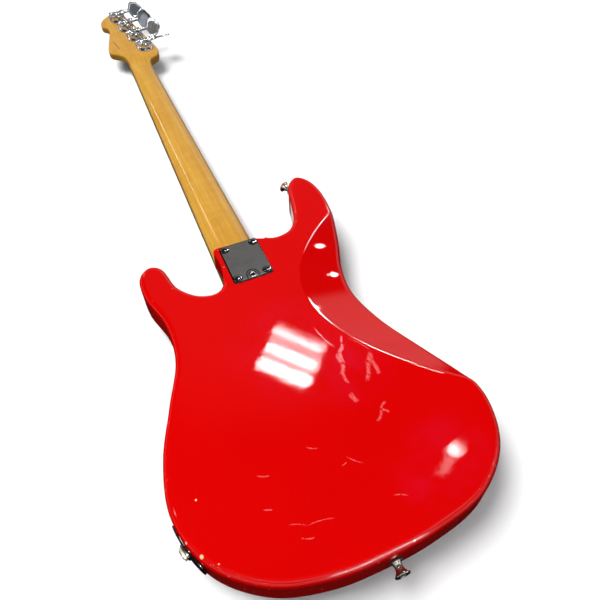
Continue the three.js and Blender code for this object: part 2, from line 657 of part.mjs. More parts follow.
const buttonSeats = [[hornPoint(0.6), HORN_ANGLE], [[3, -952.5, 22], -90]];
buttonSeats.forEach(([at, angle], i) => {
  const frame = frameAt(...at);
  frame.rotation.order = 'ZYX';
  frame.rotation.set(0, Math.PI / 2, angle * Math.PI / 180);
  place(`strap_button_${i + 1}`, turned(BUTTON, 14), NICKEL, frame);
  place(`strap_screw_${i + 1}`, makeStrapScrew(), STEEL, frame);
});

bass.updateMatrixWorld(true);
const extent = new THREE.Box3().setFromObject(bass);
const middle = extent.getCenter(new THREE.Vector3());
bass.position.set(-middle.x, -middle.y, -extent.min.z);

const scene = new THREE.Group();
scene.add(bass);
scene.updateMatrixWorld(true);

export default scene;
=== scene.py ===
import json
import math

import bmesh
import bpy
import numpy as np
from mathutils import Matrix, Vector
from mathutils.geometry import delaunay_2d_cdt


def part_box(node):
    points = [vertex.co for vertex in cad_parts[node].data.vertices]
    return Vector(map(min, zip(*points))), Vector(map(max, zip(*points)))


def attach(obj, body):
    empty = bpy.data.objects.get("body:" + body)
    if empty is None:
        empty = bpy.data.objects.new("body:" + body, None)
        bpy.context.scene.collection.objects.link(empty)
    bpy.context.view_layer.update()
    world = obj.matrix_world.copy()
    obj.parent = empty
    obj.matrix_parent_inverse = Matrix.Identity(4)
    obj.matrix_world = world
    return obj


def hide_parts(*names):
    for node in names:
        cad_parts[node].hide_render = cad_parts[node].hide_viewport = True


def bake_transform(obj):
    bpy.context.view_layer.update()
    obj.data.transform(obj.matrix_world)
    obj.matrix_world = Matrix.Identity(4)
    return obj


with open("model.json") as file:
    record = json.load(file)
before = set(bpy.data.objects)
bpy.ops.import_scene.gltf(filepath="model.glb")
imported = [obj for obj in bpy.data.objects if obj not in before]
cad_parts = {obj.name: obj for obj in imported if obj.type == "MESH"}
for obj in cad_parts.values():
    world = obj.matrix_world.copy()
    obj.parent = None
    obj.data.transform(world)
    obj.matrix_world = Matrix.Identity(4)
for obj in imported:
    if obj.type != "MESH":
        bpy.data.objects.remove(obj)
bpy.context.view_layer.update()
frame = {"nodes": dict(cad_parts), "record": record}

# ---------------------------------------------------------------- frame and camera
# Shapes are drawn in millimetres with x = 0 on the centre line, y = 0 at the nut and z = 0 on the
# body's face, as the part was designed. The neck plate's box ties that to the row frame.
BODY_T = 44.5
PLATE_Y = -571.0
plate_lo, plate_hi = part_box("neck_plate")
ORIGIN = Vector((
    500 * (plate_lo[0] + plate_hi[0]),
    500 * (plate_lo[1] + plate_hi[1]) - PLATE_Y,
    1000 * plate_lo[2] - BODY_T - 0.3,
))
TO_ROW = Matrix.Scale(0.001, 4) @ Matrix.Translation(ORIGIN)


def row(x, y, z):
    return TO_ROW @ Vector((x, y, z))


def link(name, data):
    """A new object in the scene."""
    made = bpy.data.objects.new(name, data)
    bpy.context.collection.objects.link(made)
    return made


# where the photograph was taken from, fitted to the neck plate and its bolts
CAMERA_AT = (-128.5, -1062.6, 595.2)
CAMERA_RIGHT = Vector((0.91802, -0.39617, -0.01675)).normalized()
CAMERA_UP = Vector((0.31952, 0.71407, 0.62290)).normalized()
lens = bpy.data.cameras.new("camera")
lens.sensor_width = 36
lens.lens = 35.95
lens.clip_start = 0.02
camera = link("camera", lens)
facing = Matrix((CAMERA_RIGHT, CAMERA_UP, CAMERA_RIGHT.cross(CAMERA_UP))).transposed().to_4x4()
camera.matrix_world = Matrix.Translation(row(*CAMERA_AT)) @ facing
bpy.context.scene.camera = camera
bpy.context.scene.view_settings.view_transform = "Standard"


# ---------------------------------------------------------------- material helpers
class Look:
    """A material: plain values go on the shader's own sockets, and nodes add what varies."""

    def __init__(self, name, **values):
        self.mat = bpy.data.materials.new(name)
        self.mat.use_nodes = True
        self.nodes = self.mat.node_tree.nodes
        self.links = self.mat.node_tree.links
        self.shader = self.nodes["Principled BSDF"]
        for key, value in values.items():
            self.shader.inputs[key.replace("_", " ")].default_value = value
        self.coord = self.nodes.new("ShaderNodeTexCoord").outputs["Object"]

    def join(self, value, socket):
        if isinstance(value, bpy.types.NodeSocket):
            self.links.new(value, socket)
        else:
            socket.default_value = value

    def node(self, kind, out=0, props=None, **inputs):
        made = self.nodes.new("ShaderNode" + kind)
        for key, value in (props or {}).items():
            setattr(made, key, value)
        for key, value in inputs.items():
            key = key.replace("_", " ")
            self.join(value, made.inputs[int(key[1:]) if key[1:].isdigit() else key])
        return made.outputs[out]

    def stretch(self, x, y, z):
        return self.vector("MULTIPLY", i0=self.coord, i1=(x, y, z))

    def noise(self, scale, detail=3.0, roughness=0.5, distortion=0.0, at=None):
        return self.node("TexNoise", Vector=at or self.coord, Scale=scale, Detail=detail,
                         Roughness=roughness, Distortion=distortion)

    def math(self, operation, a, b=0.0, c=0.0, clamp=False):
        props = {"operation": operation, "use_clamp": clamp}
        return self.node("Math", props=props, i0=a, i1=b, i2=c)

    def span(self, value, low, high, to_low=0.0, to_high=1.0):
        return self.node("MapRange", i0=value, i1=low, i2=high, i3=to_low, i4=to_high)

    def times(self, a, b):
        return self.math("MULTIPLY", a, b)

    def vector(self, operation, out=0, **inputs):
        return self.node("VectorMath", out=out, props={"operation": operation}, **inputs)

    def mix(self, factor, a, b):
        return self.node("Mix", out=2, props={"data_type": "RGBA"}, i0=factor, i6=a, i7=b)

    def tint(self, factor, share, colour, other):
        """colour turned towards other by a share of factor."""
        return self.mix(self.times(factor, share), colour, rgb(*other))

    def bump(self, height, distance):
        return self.node("Bump", Strength=1.0, Distance=distance, Height=height)

    def spot(self, centre, radius, soft=0.3):
        """1 inside a ball round a point given in millimetres, fading out at its edge."""
        away = self.vector("DISTANCE", 1, i0=self.coord, i1=tuple(row(*centre)))
        return self.span(away, radius * (1 + soft) / 1000, radius * (1 - soft) / 1000)

    def streak(self, a, b, width, bend=0.0):
        """1 along a thin scratch from a to b, points in millimetres, that may bend sideways."""
        start, end = row(*a), row(*b)
        along = end - start
        offset = self.vector("SUBTRACT", i0=self.coord, i1=tuple(start))
        part = self.vector("DOT_PRODUCT", 1, i0=offset, i1=tuple(along / along.length_squared))
        held = self.math("MULTIPLY", part, 1.0, clamp=True)
        bow = self.times(self.times(held, self.math("SUBTRACT", 1.0, held)), bend * 4 / 1000)
        side = along.cross(Vector((0, 0, 1))).normalized()
        line = self.vector("SCALE", i0=tuple(along), i3=held)
        bowed = self.vector("SCALE", i0=tuple(side), i3=bow)
        away = self.vector("DISTANCE", 1, i0=offset, i1=self.vector("ADD", i0=line, i1=bowed))
        fade = self.span(self.math("ABSOLUTE", self.math("SUBTRACT", held, 0.5)), 0.5, 0.3)
        return self.times(self.span(away, width / 1000, width / 2500), fade)

    def most(self, values):
        top = values[0]
        for value in values[1:]:
            top = self.math("MAXIMUM", top, value)
        return top

    def set(self, **sockets):
        for key, value in sockets.items():
            self.join(value, self.shader.inputs[key.replace("_", " ")])
        return self.mat


def rgb(r, g, b):
    return (r, g, b, 1.0)


# ---------------------------------------------------------------- materials
def red_lacquer():
    look = Look("red_lacquer", Coat_Weight=1.0, Coat_Roughness=0.02, Coat_IOR=1.45,
                Specular_IOR_Level=0.0)
    drift = look.noise(5.0, 2.0)
    fleck = look.noise(900.0, 2.0)
    colour = look.mix(drift, rgb(0.66, 0.0002, 0.0002), rgb(0.54, 0.0001, 0.0003))
    # pinkish cloudy patches around the reflections of the window and lamps: painted glow of those
    # reflections
    haze = look.most([look.spot((*p, BODY_T), r, 0.9) for p, r in HAZE_GLOW_SPOTS])
    haze_glow = look.times(haze, look.span(look.noise(34.0, 4.0, 0.65), 0.35, 0.72))
    colour = look.tint(haze_glow, 0.75, colour, (0.60, 0.004, 0.022))
    # pale pink streaks: the thin ones are real scratches, the wide wavy ones are painted reflections of
    # lamps
    scuffs_and_reflections = look.most([look.streak((*a, BODY_T), (*b, BODY_T), *form) for a, b, *form in SCUFFS_AND_REFLECTIONS])
    streak_breakup = look.noise(1.0, 4.0, 0.65, at=look.stretch(620, 240, 500))
    broken = look.times(scuffs_and_reflections, look.span(streak_breakup, 0.32, 0.62))
    colour = look.tint(broken, 0.75, colour, (0.84, 0.17, 0.17))
    edge = look.node("Attribute", out=2, props={"attribute_name": "edge"})
    worn = look.times(edge, look.span(look.noise(260.0, 4.0, 0.7), 0.66, 0.72))
    chips = look.most([look.spot(p, r) for p, r in CHIPS] + [look.times(worn, 0.8)])
    under = look.mix(fleck, rgb(0.86, 0.62, 0.30), rgb(0.80, 0.66, 0.42))
    colour = look.mix(chips, colour, under)
    hairs = look.noise(1.0, 3.0, 0.6, at=look.stretch(2600, 160, 900))
    height = look.math("ADD", look.times(look.noise(160.0, 2.0), 0.35), look.times(hairs, 0.07))
    height = look.math("SUBTRACT", height, look.times(look.math("MAXIMUM", broken, chips), 0.5))
    normal = look.bump(height, 0.00006)
    rough = look.span(look.noise(38.0, 4.0, 0.65), 0.3, 0.75, 0.26, 0.40)
    rough = look.math("MAXIMUM", rough, look.times(chips, 0.6))
    return look.set(Base_Color=colour, Roughness=rough, Normal=normal, Coat_Normal=normal)


def maple():
    look = Look("amber_maple", Coat_Weight=1.0, Coat_Roughness=0.045, Coat_IOR=1.45,
                Specular_IOR_Level=0.05)
    bands = look.noise(1.0, 4.0, 0.6, 0.6, at=look.stretch(150, 7, 150))
    lines = look.noise(1.0, 3.0, 0.65, at=look.stretch(900, 16, 900))
    flame = look.noise(1.0, 2.0, 0.5, at=look.stretch(30, 75, 30))
    pores = look.noise(1.0, 2.0, 0.6, at=look.stretch(2600, 160, 2600))
    colour = look.mix(look.span(bands, 0.3, 0.72), rgb(0.64, 0.345, 0.050), rgb(0.53, 0.250, 0.024))
    colour = look.tint(look.span(lines, 0.48, 0.75), 0.50, colour, (0.42, 0.19, 0.04))
    colour = look.tint(look.span(flame, 0.45, 0.8), 0.22, colour, (0.74, 0.45, 0.11))
    colour = look.tint(look.span(pores, 0.62, 0.72), 0.30, colour, (0.30, 0.13, 0.03))
    marks = look.most([look.streak((*a, HEAD_BACK_Z), (*b, HEAD_BACK_Z), *form)
                       for a, b, *form in HEAD_MARKS])
    colour = look.tint(marks, 0.85, colour, (0.10, 0.04, 0.015))
    height = look.math("ADD", look.noise(170.0, 2.0), look.times(lines, 0.5))
    normal = look.bump(height, 0.00006)
    return look.set(Base_Color=colour, Roughness=look.span(bands, 0.2, 0.8, 0.28, 0.42),
                    Normal=normal, Coat_Normal=normal)


def metal(name, colour, rough, wear=0.12, bump=0.00003, scale=300.0, dark=0.72, metallic=1.0):
    """Plated or polished metal with faint polishing marks, haze and handling smears."""
    look = Look(name, Metallic=metallic)
    smear = look.noise(scale / 5, 4.0, 0.6)
    fine = look.noise(scale * 4, 2.0)
    lines = look.noise(1.0, 2.0, 0.6, at=look.stretch(scale * 8, scale * 0.6, scale * 3))
    dim = rgb(*[c * dark for c in colour])
    tone = look.mix(look.span(smear, 0.45, 0.8), rgb(*colour), dim)
    roughness = look.span(look.math("ADD", smear, look.times(lines, 0.5)),
                          0.45, 1.1, rough, rough + wear)
    height = look.math("ADD", fine, lines)
    return look.set(Base_Color=tone, Roughness=roughness, Normal=look.bump(height, bump))


def plastic(name, colour, other, rough, coat=0.0, scale=120.0, bump=0.00005):
    look = Look(name, Coat_Weight=coat, Coat_Roughness=0.08)
    mottle = look.noise(scale, 4.0, 0.6)
    grain = look.noise(scale * 12, 2.0)
    tone = look.mix(mottle, rgb(*colour), rgb(*other))
    tone = look.tint(look.span(grain, 0.6, 0.75), 0.25, tone, [c * 0.6 for c in other])
    return look.set(Base_Color=tone, Roughness=look.span(mottle, 0.3, 0.7, rough, rough + 0.14),
                    Normal=look.bump(look.math("ADD", mottle, grain), bump))


def rosewood():
    look = Look("rosewood", Specular_IOR_Level=0.4)
    bands = look.noise(1.0, 5.0, 0.65, 0.8, at=look.stretch(220, 9, 220))
    pores = look.noise(1.0, 2.0, 0.6, at=look.stretch(3200, 120, 3200))
    colour = look.mix(look.span(bands, 0.3, 0.7), rgb(0.062, 0.026, 0.016), rgb(0.135, 0.058, 0.032))
    colour = look.mix(look.span(pores, 0.56, 0.66), colour, rgb(0.018, 0.008, 0.006))
    height = look.math("SUBTRACT", bands, look.span(pores, 0.5, 0.7))
    return look.set(Base_Color=colour, Roughness=look.span(bands, 0.2, 0.8, 0.38, 0.55),
                    Normal=look.bump(height, 0.00012))


def wound_string():
    look = Look("wound_string", Metallic=1.0)
    turns = look.node("TexWave", out=1, props={"wave_type": "BANDS", "bands_direction": "Y"},
                      Vector=look.coord, Scale=380.0, Distortion=0.3)
    tarnish = look.noise(160.0, 4.0, 0.6)
    tone = look.mix(tarnish, rgb(0.62, 0.60, 0.56), rgb(0.40, 0.37, 0.32))
    tone = look.tint(look.span(turns, 0.5, 0.1), 0.6, tone, (0.12, 0.11, 0.10))
    return look.set(Base_Color=tone, Roughness=look.span(tarnish, 0.3, 0.7, 0.28, 0.45),
                    Normal=look.bump(turns, 0.0002))


def floor_look():
    look = Look("floor", Specular_IOR_Level=0.15)
    mottle = look.noise(3.0, 4.0)
    tone = look.mix(mottle, rgb(0.98, 0.98, 0.978), rgb(0.965, 0.965, 0.965))
    return look.set(Base_Color=tone, Roughness=look.span(mottle, 0.2, 0.8, 0.75, 0.9),
                    Normal=look.bump(look.noise(600.0, 2.0), 0.00004))


# marks in the finish, in millimetres: streaks by their ends, width and sideways bow, the thin ones
# real scratches and the wide wavy ones painted reflections of lamps; cloudy patches of painted glow
# round the reflections, and chips, by their middle and radius
SCUFFS_AND_REFLECTIONS = [
    ((-76.3, -890.8), (-59.9, -898.4), 0.55, -1),
    ((-59.9, -898.4), (-33.9, -902.5), 0.55, -1.5),
    ((-31.1, -828.2), (-20.7, -833.9), 0.7, 1),
    ((0.7, -852.5), (13.5, -865.9), 0.6, 1),
    ((-7.2, -860.1), (-1.1, -858.4), 0.6, 0),
    ((59.5, -721.6), (55.0, -731.4), 1.6, 1),
    ((55.0, -731.4), (45.8, -741.0), 2.6, -2),
    ((52.0, -735.0), (46.5, -757.0), 2.2, 3),
    ((45.8, -741.0), (44.0, -755.0), 3.4, 1.5),
    ((44.0, -755.0), (36.5, -768.0), 3.0, -1.5),
    ((41.0, -762.0), (39.7, -781.0), 2.0, 2),
    ((78.0, -753.2), (69.5, -762.5), 2.4, -2),
    ((69.5, -762.5), (57.8, -786.6), 2.8, -2),
    ((78.0, -755.0), (74.5, -772.0), 3.6, 2),
    ((74.5, -768.0), (73.8, -783.8), 2.8, -1),
    ((35.4, -791.1), (38.6, -804.4), 3.2, 1),
    ((64.9, -815.2), (55.7, -821.0), 1.6, 1),
    ((55.7, -821.0), (45.5, -831.7), 1.8, -2),
    ((56.7, -821.3), (62.6, -827.3), 1.6, 0),
    ((35.7, -698.7), (46.2, -734.6), 0.5, 2),
    ((63.2, -727.5), (79.5, -753.8), 0.5, -2),
    ((-86.0, -836.0), (-74.0, -841.0), 0.8, 1),
    ((-92.0, -869.0), (-84.0, -872.5), 0.9, 0),
    ((-70.0, -906.0), (-58.0, -910.5), 0.7, 1),
    ((24.0, -905.0), (37.0, -911.0), 0.8, -1),
]
# middles and radii of the patches of painted glow around reflections
HAZE_GLOW_SPOTS = [
    ((6, -716), 44),
    ((46, -752), 34),
    ((96, -886), 26),
    ((62, -905), 20),
    ((20, -750), 26),
]
CHIPS = [
    ((-165.4, -868.0, 41.5), 1.2),
    ((-156.4, -885.4, 43.2), 1.8),
    ((-140.6, -910.7, 42.8), 1.5),
    ((-144.3, -897.5, 44.0), 0.8),
    ((-146.0, -835.2, 44.5), 0.9),
]
HEAD_MARKS = [
    ((-31, 89), (-25, 52), 1.1, -1),
]


# ---------------------------------------------------------------- outlines
SPAN_STEPS = 24


def closed_curve(points, count):
    """Centripetal Catmull-Rom through the points, evenly spaced along its length."""
    p = np.array(points, float)
    n = len(p)
    dense = []
    for i in range(n):
        a, b, c, d = (p[(i + k) % n] for k in (-1, 0, 1, 2))
        t0, t1, t2 = (max(np.linalg.norm(v) ** 0.5, 1e-6) for v in (b - a, c - b, d - c))
        m1 = ((b - a) / t0 - (c - a) / (t0 + t1) + (c - b) / t1) * t1
        m2 = ((c - b) / t1 - (d - b) / (t1 + t2) + (d - c) / t2) * t1
        s = np.linspace(0, 1, SPAN_STEPS, endpoint=False)[:, None]
        bend, twist = 3 * (c - b) - 2 * m1 - m2, 2 * (b - c) + m1 + m2
        dense.append(b + m1 * s + bend * s**2 + twist * s**3)
    return even(np.vstack(dense), count, closed=True)


def even(points, count, closed=False):
    path = np.vstack([points, points[:1]]) if closed else points
    run = np.concatenate([[0], np.cumsum(np.linalg.norm(np.diff(path, axis=0), axis=1))])
    at = np.linspace(0, run[-1], count + 1 if closed else count)
    at = at[:-1] if closed else at
    return np.stack([np.interp(at, run, path[:, k]) for k in range(path.shape[1])], 1)


def relaxed(points, passes, keep=None, closed=True):
    """The outline with its small waves smoothed away, except where keep is 1."""
    p = points.copy()
    hold = np.zeros(len(p)) if keep is None else keep
    for _ in range(passes):
        for step in (0.5, -0.52):
            ahead, behind = np.roll(p, -1, 0), np.roll(p, 1, 0)
            move = (ahead + behind) / 2 - p
            if not closed:
                move[[0, -1]] = 0
            p = p + move * (step * (1 - hold))[:, None]
    return p


def outward(points, closed=True):
    """Outward normals of an outline that runs anticlockwise."""
    if closed:
        tangent = np.roll(points, -1, 0) - np.roll(points, 1, 0)
    else:
        tangent = np.gradient(points, axis=0)
    normal = np.stack([tangent[:, 1], -tangent[:, 0]], 1)
    return normal / np.linalg.norm(normal, axis=1)[:, None]


def anticlockwise(loop):
    x, y = loop[:, 0], loop[:, 1]
    return loop[::-1] if np.sum(x * np.roll(y, -1) - y * np.roll(x, -1)) < 0 else loop


def smoothstep(low, high, value):
    t = np.clip((value - low) / (high - low), 0, 1)
    return t * t * (3 - 2 * t)


def inside(points, loop):
    """Which points lie within a closed loop."""
    x, y = points[:, 0][:, None], points[:, 1][:, None]
    ax, ay = loop[:, 0][None], loop[:, 1][None]
    bx, by = np.roll(loop, -1, 0)[:, 0][None], np.roll(loop, -1, 0)[:, 1][None]
    crosses = (ay > y) != (by > y)
    reach = (bx - ax) * (y - ay) / np.where(by == ay, 1e-9, by - ay) + ax
    return (crosses & (x < reach)).sum(1) % 2 == 1


def distance_to(points, loop):
    """Distance of each point to a densely sampled loop."""
    best = np.full(len(points), 1e9)
    for start in range(0, len(loop), 64):
        part = loop[start:start + 64]
        gap = np.linalg.norm(points[:, None] - part[None], axis=2)
        best = np.minimum(best, gap.min(1))
    return best


def well_inside(points, loop, gap):
    """The points that lie within a loop and further than gap from it."""
    points = points[inside(points, loop)]
    return points[distance_to(points, loop) > gap]


def grid_of(x_range, y_range):
    return np.stack(np.meshgrid(np.arange(*x_range), np.arange(*y_range)), -1).reshape(-1, 2)


# ---------------------------------------------------------------- mesh helpers
# turns a profile drawn in y and z so that its thickness runs along x
ALONG_X = Matrix(((0, 0, 1, 0), (1, 0, 0, 0), (0, 1, 0, 0), (0, 0, 0, 1)))


class Shell:
    """Vertices and faces gathered in millimetres before they become one piece."""

    def __init__(self):
        self.points = []
        self.faces = []

    def add(self, points):
        first = len(self.points)
        self.points.extend(tuple(float(v) for v in p) for p in points)
        return list(range(first, first + len(points)))

    def loft(self, rows, closed=True):
        """Quads between rows of vertex numbers."""
        for a, b in zip(rows, rows[1:]):
            n = len(a)
            for i in range(n if closed else n - 1):
                j = (i + 1) % n
                self.faces.append((a[i], a[j], b[j], b[i]))

    def close(self, rows):
        """A closed bar through rings of vertex numbers."""
        self.loft(rows)
        self.faces += [tuple(rows[0]), tuple(rows[-1][::-1])]

    def fill(self, ring, inner, height):
        """Triangles that fill a ring of vertex numbers, through extra points inside it."""
        flat = [Vector(self.points[i][:2]) for i in ring] + [Vector(p) for p in inner]
        n = len(ring)
        edges = [(i, (i + 1) % n) for i in range(n)]
        out, _, tris, origin, _, _ = delaunay_2d_cdt(flat, edges, [], 1, 1e-6)
        number = []
        for k, p in enumerate(out):
            old = [i for i in origin[k] if i < n]
            number.append(ring[old[0]] if old else self.add([(p.x, p.y, height(p.x, p.y))])[0])
        self.faces.extend(tuple(number[i] for i in tri) for tri in tris)


def at(x, y, z, *turns):
    """A place in millimetres, then turns in degrees about axes."""
    made = Matrix.Translation((x, y, z))
    for degrees, axis in turns:
        made = made @ Matrix.Rotation(math.radians(degrees), 4, axis)
    return made


def move(bm, matrix, verts=None):
    bmesh.ops.transform(bm, matrix=matrix, verts=bm.verts if verts is None else verts)
    return bm


def mesh_of(bm, name):
    """The bmesh as a mesh of its own; the bmesh is freed."""
    mesh = bpy.data.meshes.new(name)
    bm.to_mesh(mesh)
    bm.free()
    return mesh


def finish_piece(name, bm, material, body="instrument", replaces=(), sharp=35):
    """Turns a bmesh in millimetres into a piece that rides a body and stands for CAD nodes."""
    bmesh.ops.remove_doubles(bm, verts=bm.verts, dist=1e-4)
    bmesh.ops.recalc_face_normals(bm, faces=bm.faces)
    mesh = mesh_of(move(bm, TO_ROW), name)
    mesh.shade_smooth()
    mesh.set_sharp_from_angle(angle=math.radians(sharp))
    piece = link(name, mesh)
    # broad flats keep their own normals, so only the rounds between them shade round
    piece.modifiers.new("flats", "WEIGHTED_NORMAL").keep_sharp = True
    for one in material if isinstance(material, list) else [material]:
        mesh.materials.append(one)
    if replaces:
        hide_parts(*replaces)
    if body:
        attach(piece, body)
    return piece


def shell_bmesh(shell):
    bm = bmesh.new()
    verts = [bm.verts.new(p) for p in shell.points]
    for face in shell.faces:
        if len(set(face)) > 2:
            bm.faces.new([verts[i] for i in face])
    return bm


def solid(name, bm):
    """A short-lived object for the boolean, with its faces turned outwards."""
    bmesh.ops.recalc_face_normals(bm, faces=bm.faces)
    return link(name, mesh_of(bm, name))


def carve(bm, makers):
    """bm with other shapes cut out of it, all in millimetres."""
    base = solid("base", bm)
    tools = []
    for maker in makers:
        tool = bmesh.new()
        maker(tool)
        tools.append(solid("cutter", tool))
    for tool in tools:
        cut = base.modifiers.new("cut", "BOOLEAN")
        cut.operation = "DIFFERENCE"
        cut.solver = "EXACT"
        cut.object = tool
    graph = bpy.context.evaluated_depsgraph_get()
    out = bmesh.new()
    out.from_mesh(base.evaluated_get(graph).to_mesh())
    for thing in [base, *tools]:
        old = thing.data
        bpy.data.objects.remove(thing)
        bpy.data.meshes.remove(old)
    return out


def skin(bm, rings, caps=True):
    """Quads between rings of vertices, and a face over each end."""
    n = len(rings[0])
    for a, b in zip(rings, rings[1:]):
        for i in range(n):
            j = (i + 1) % n
            bm.faces.new((a[i], a[j], b[j], b[i]))
    if caps:
        bm.faces.new(rings[0][::-1])
        bm.faces.new(rings[-1])


def block(bm, x0, x1, y0, y1, z0, z1):
    made = bmesh.ops.create_cube(bm, size=1)["verts"]
    middle = Matrix.Translation(((x0 + x1) / 2, (y0 + y1) / 2, (z0 + z1) / 2))
    move(bm, middle @ Matrix.Diagonal((x1 - x0, y1 - y0, z1 - z0, 1)), made)
    return made


def slab(bm, loop, z0, z1, shrink=1.0):
    """A flat-ended plug on an outline, which may narrow towards its low end."""
    low = [bm.verts.new((x * shrink, y * shrink, z0)) for x, y in loop]
    high = [bm.verts.new((x, y, z1)) for x, y in loop]
    skin(bm, [low, high])


def pin(bm, a, b, radius, sides=24, end_radius=None):
    a, b = Vector(a), Vector(b)
    made = bmesh.ops.create_cone(bm, cap_ends=True, segments=sides, radius1=radius,
                                 radius2=radius if end_radius is None else end_radius,
                                 depth=(b - a).length)["verts"]
    turn = Vector((0, 0, 1)).rotation_difference(b - a).to_matrix().to_4x4()
    move(bm, Matrix.Translation((a + b) / 2) @ turn, made)


# ---------------------------------------------------------------- body
BODY_OUTLINE = [
    (-31, 36), (-4, 36), (22, 35), (50, 26.5), (70, 30.5), (84, 47), (94, 79), (100, 103),
    (108.5, 118), (120, 123.5), (133, 112), (140, 86), (137.5, 41), (126.5, -5), (112, -47),
    (108, -83), (118.5, -127), (145, -191), (160, -238), (165.5, -280), (147.5, -330),
    (105, -365), (49, -378), (0, -381), (-57, -378), (-112, -361), (-156, -322), (-173, -269),
    (-165, -213), (-143, -157), (-121, -103), (-118.5, -52), (-130.5, -2), (-128, 30),
    (-113, 41), (-100, 34), (-89, -5), (-68, -27.5), (-48, -31), (-37, -21), (-31, 8),
]
OUTLINE_POINTS = 620
OUTLINE_PASSES = 30
EDGE_STEPS = 10
EDGE_MARGIN = 1.6
EDGE_SHARP, EDGE_ROUND = 1.2, 6.0
HEEL_TRIM = 3.0
JACK_BORE_R = 11
HEEL_W = 62.5
HEEL_END_Y = -609.0
POCKET_Z = 15.9
# the hollow of a large drum, laid across the waist from the tip of its edge at a slope
BELLY = {"x": 47.4, "y": -639.0, "lean": -0.165, "slope": 0.306, "radius": 325.0}


def soft(height, width):
    """A ramp that starts at 0 with a small round instead of a corner."""
    rounded = (height + width) ** 2 / (4 * width)
    return np.where(height < -width, 0, np.where(height > width, height, rounded))


def belly_place(along, across):
    """A point of the belly hollow, measured along and across the drum from its tip."""
    c, n = math.cos(BELLY["lean"]), math.sin(BELLY["lean"])
    return BELLY["x"] + along * c - across * n, BELLY["y"] + along * n + across * c


def belly_depth(x, y):
    """How deep the drum goes below the back: negative outside the hollow."""
    c, n = math.cos(BELLY["lean"]), math.sin(BELLY["lean"])
    dx, dy = x - BELLY["x"], y - BELLY["y"]
    along, across = dx * c + dy * n, dy * c - dx * n
    return BELLY["slope"] * along - across ** 2 / (2 * BELLY["radius"])


def back_z(x, y):
    return BODY_T - soft(belly_depth(x, y), 0.55)


def face_z(x, y):
    lean = 0.42
    u = (x - 112) * math.cos(lean) - (y - PLATE_Y + 290) * math.sin(lean)
    return soft(math.tan(0.2) * u, 0.6)


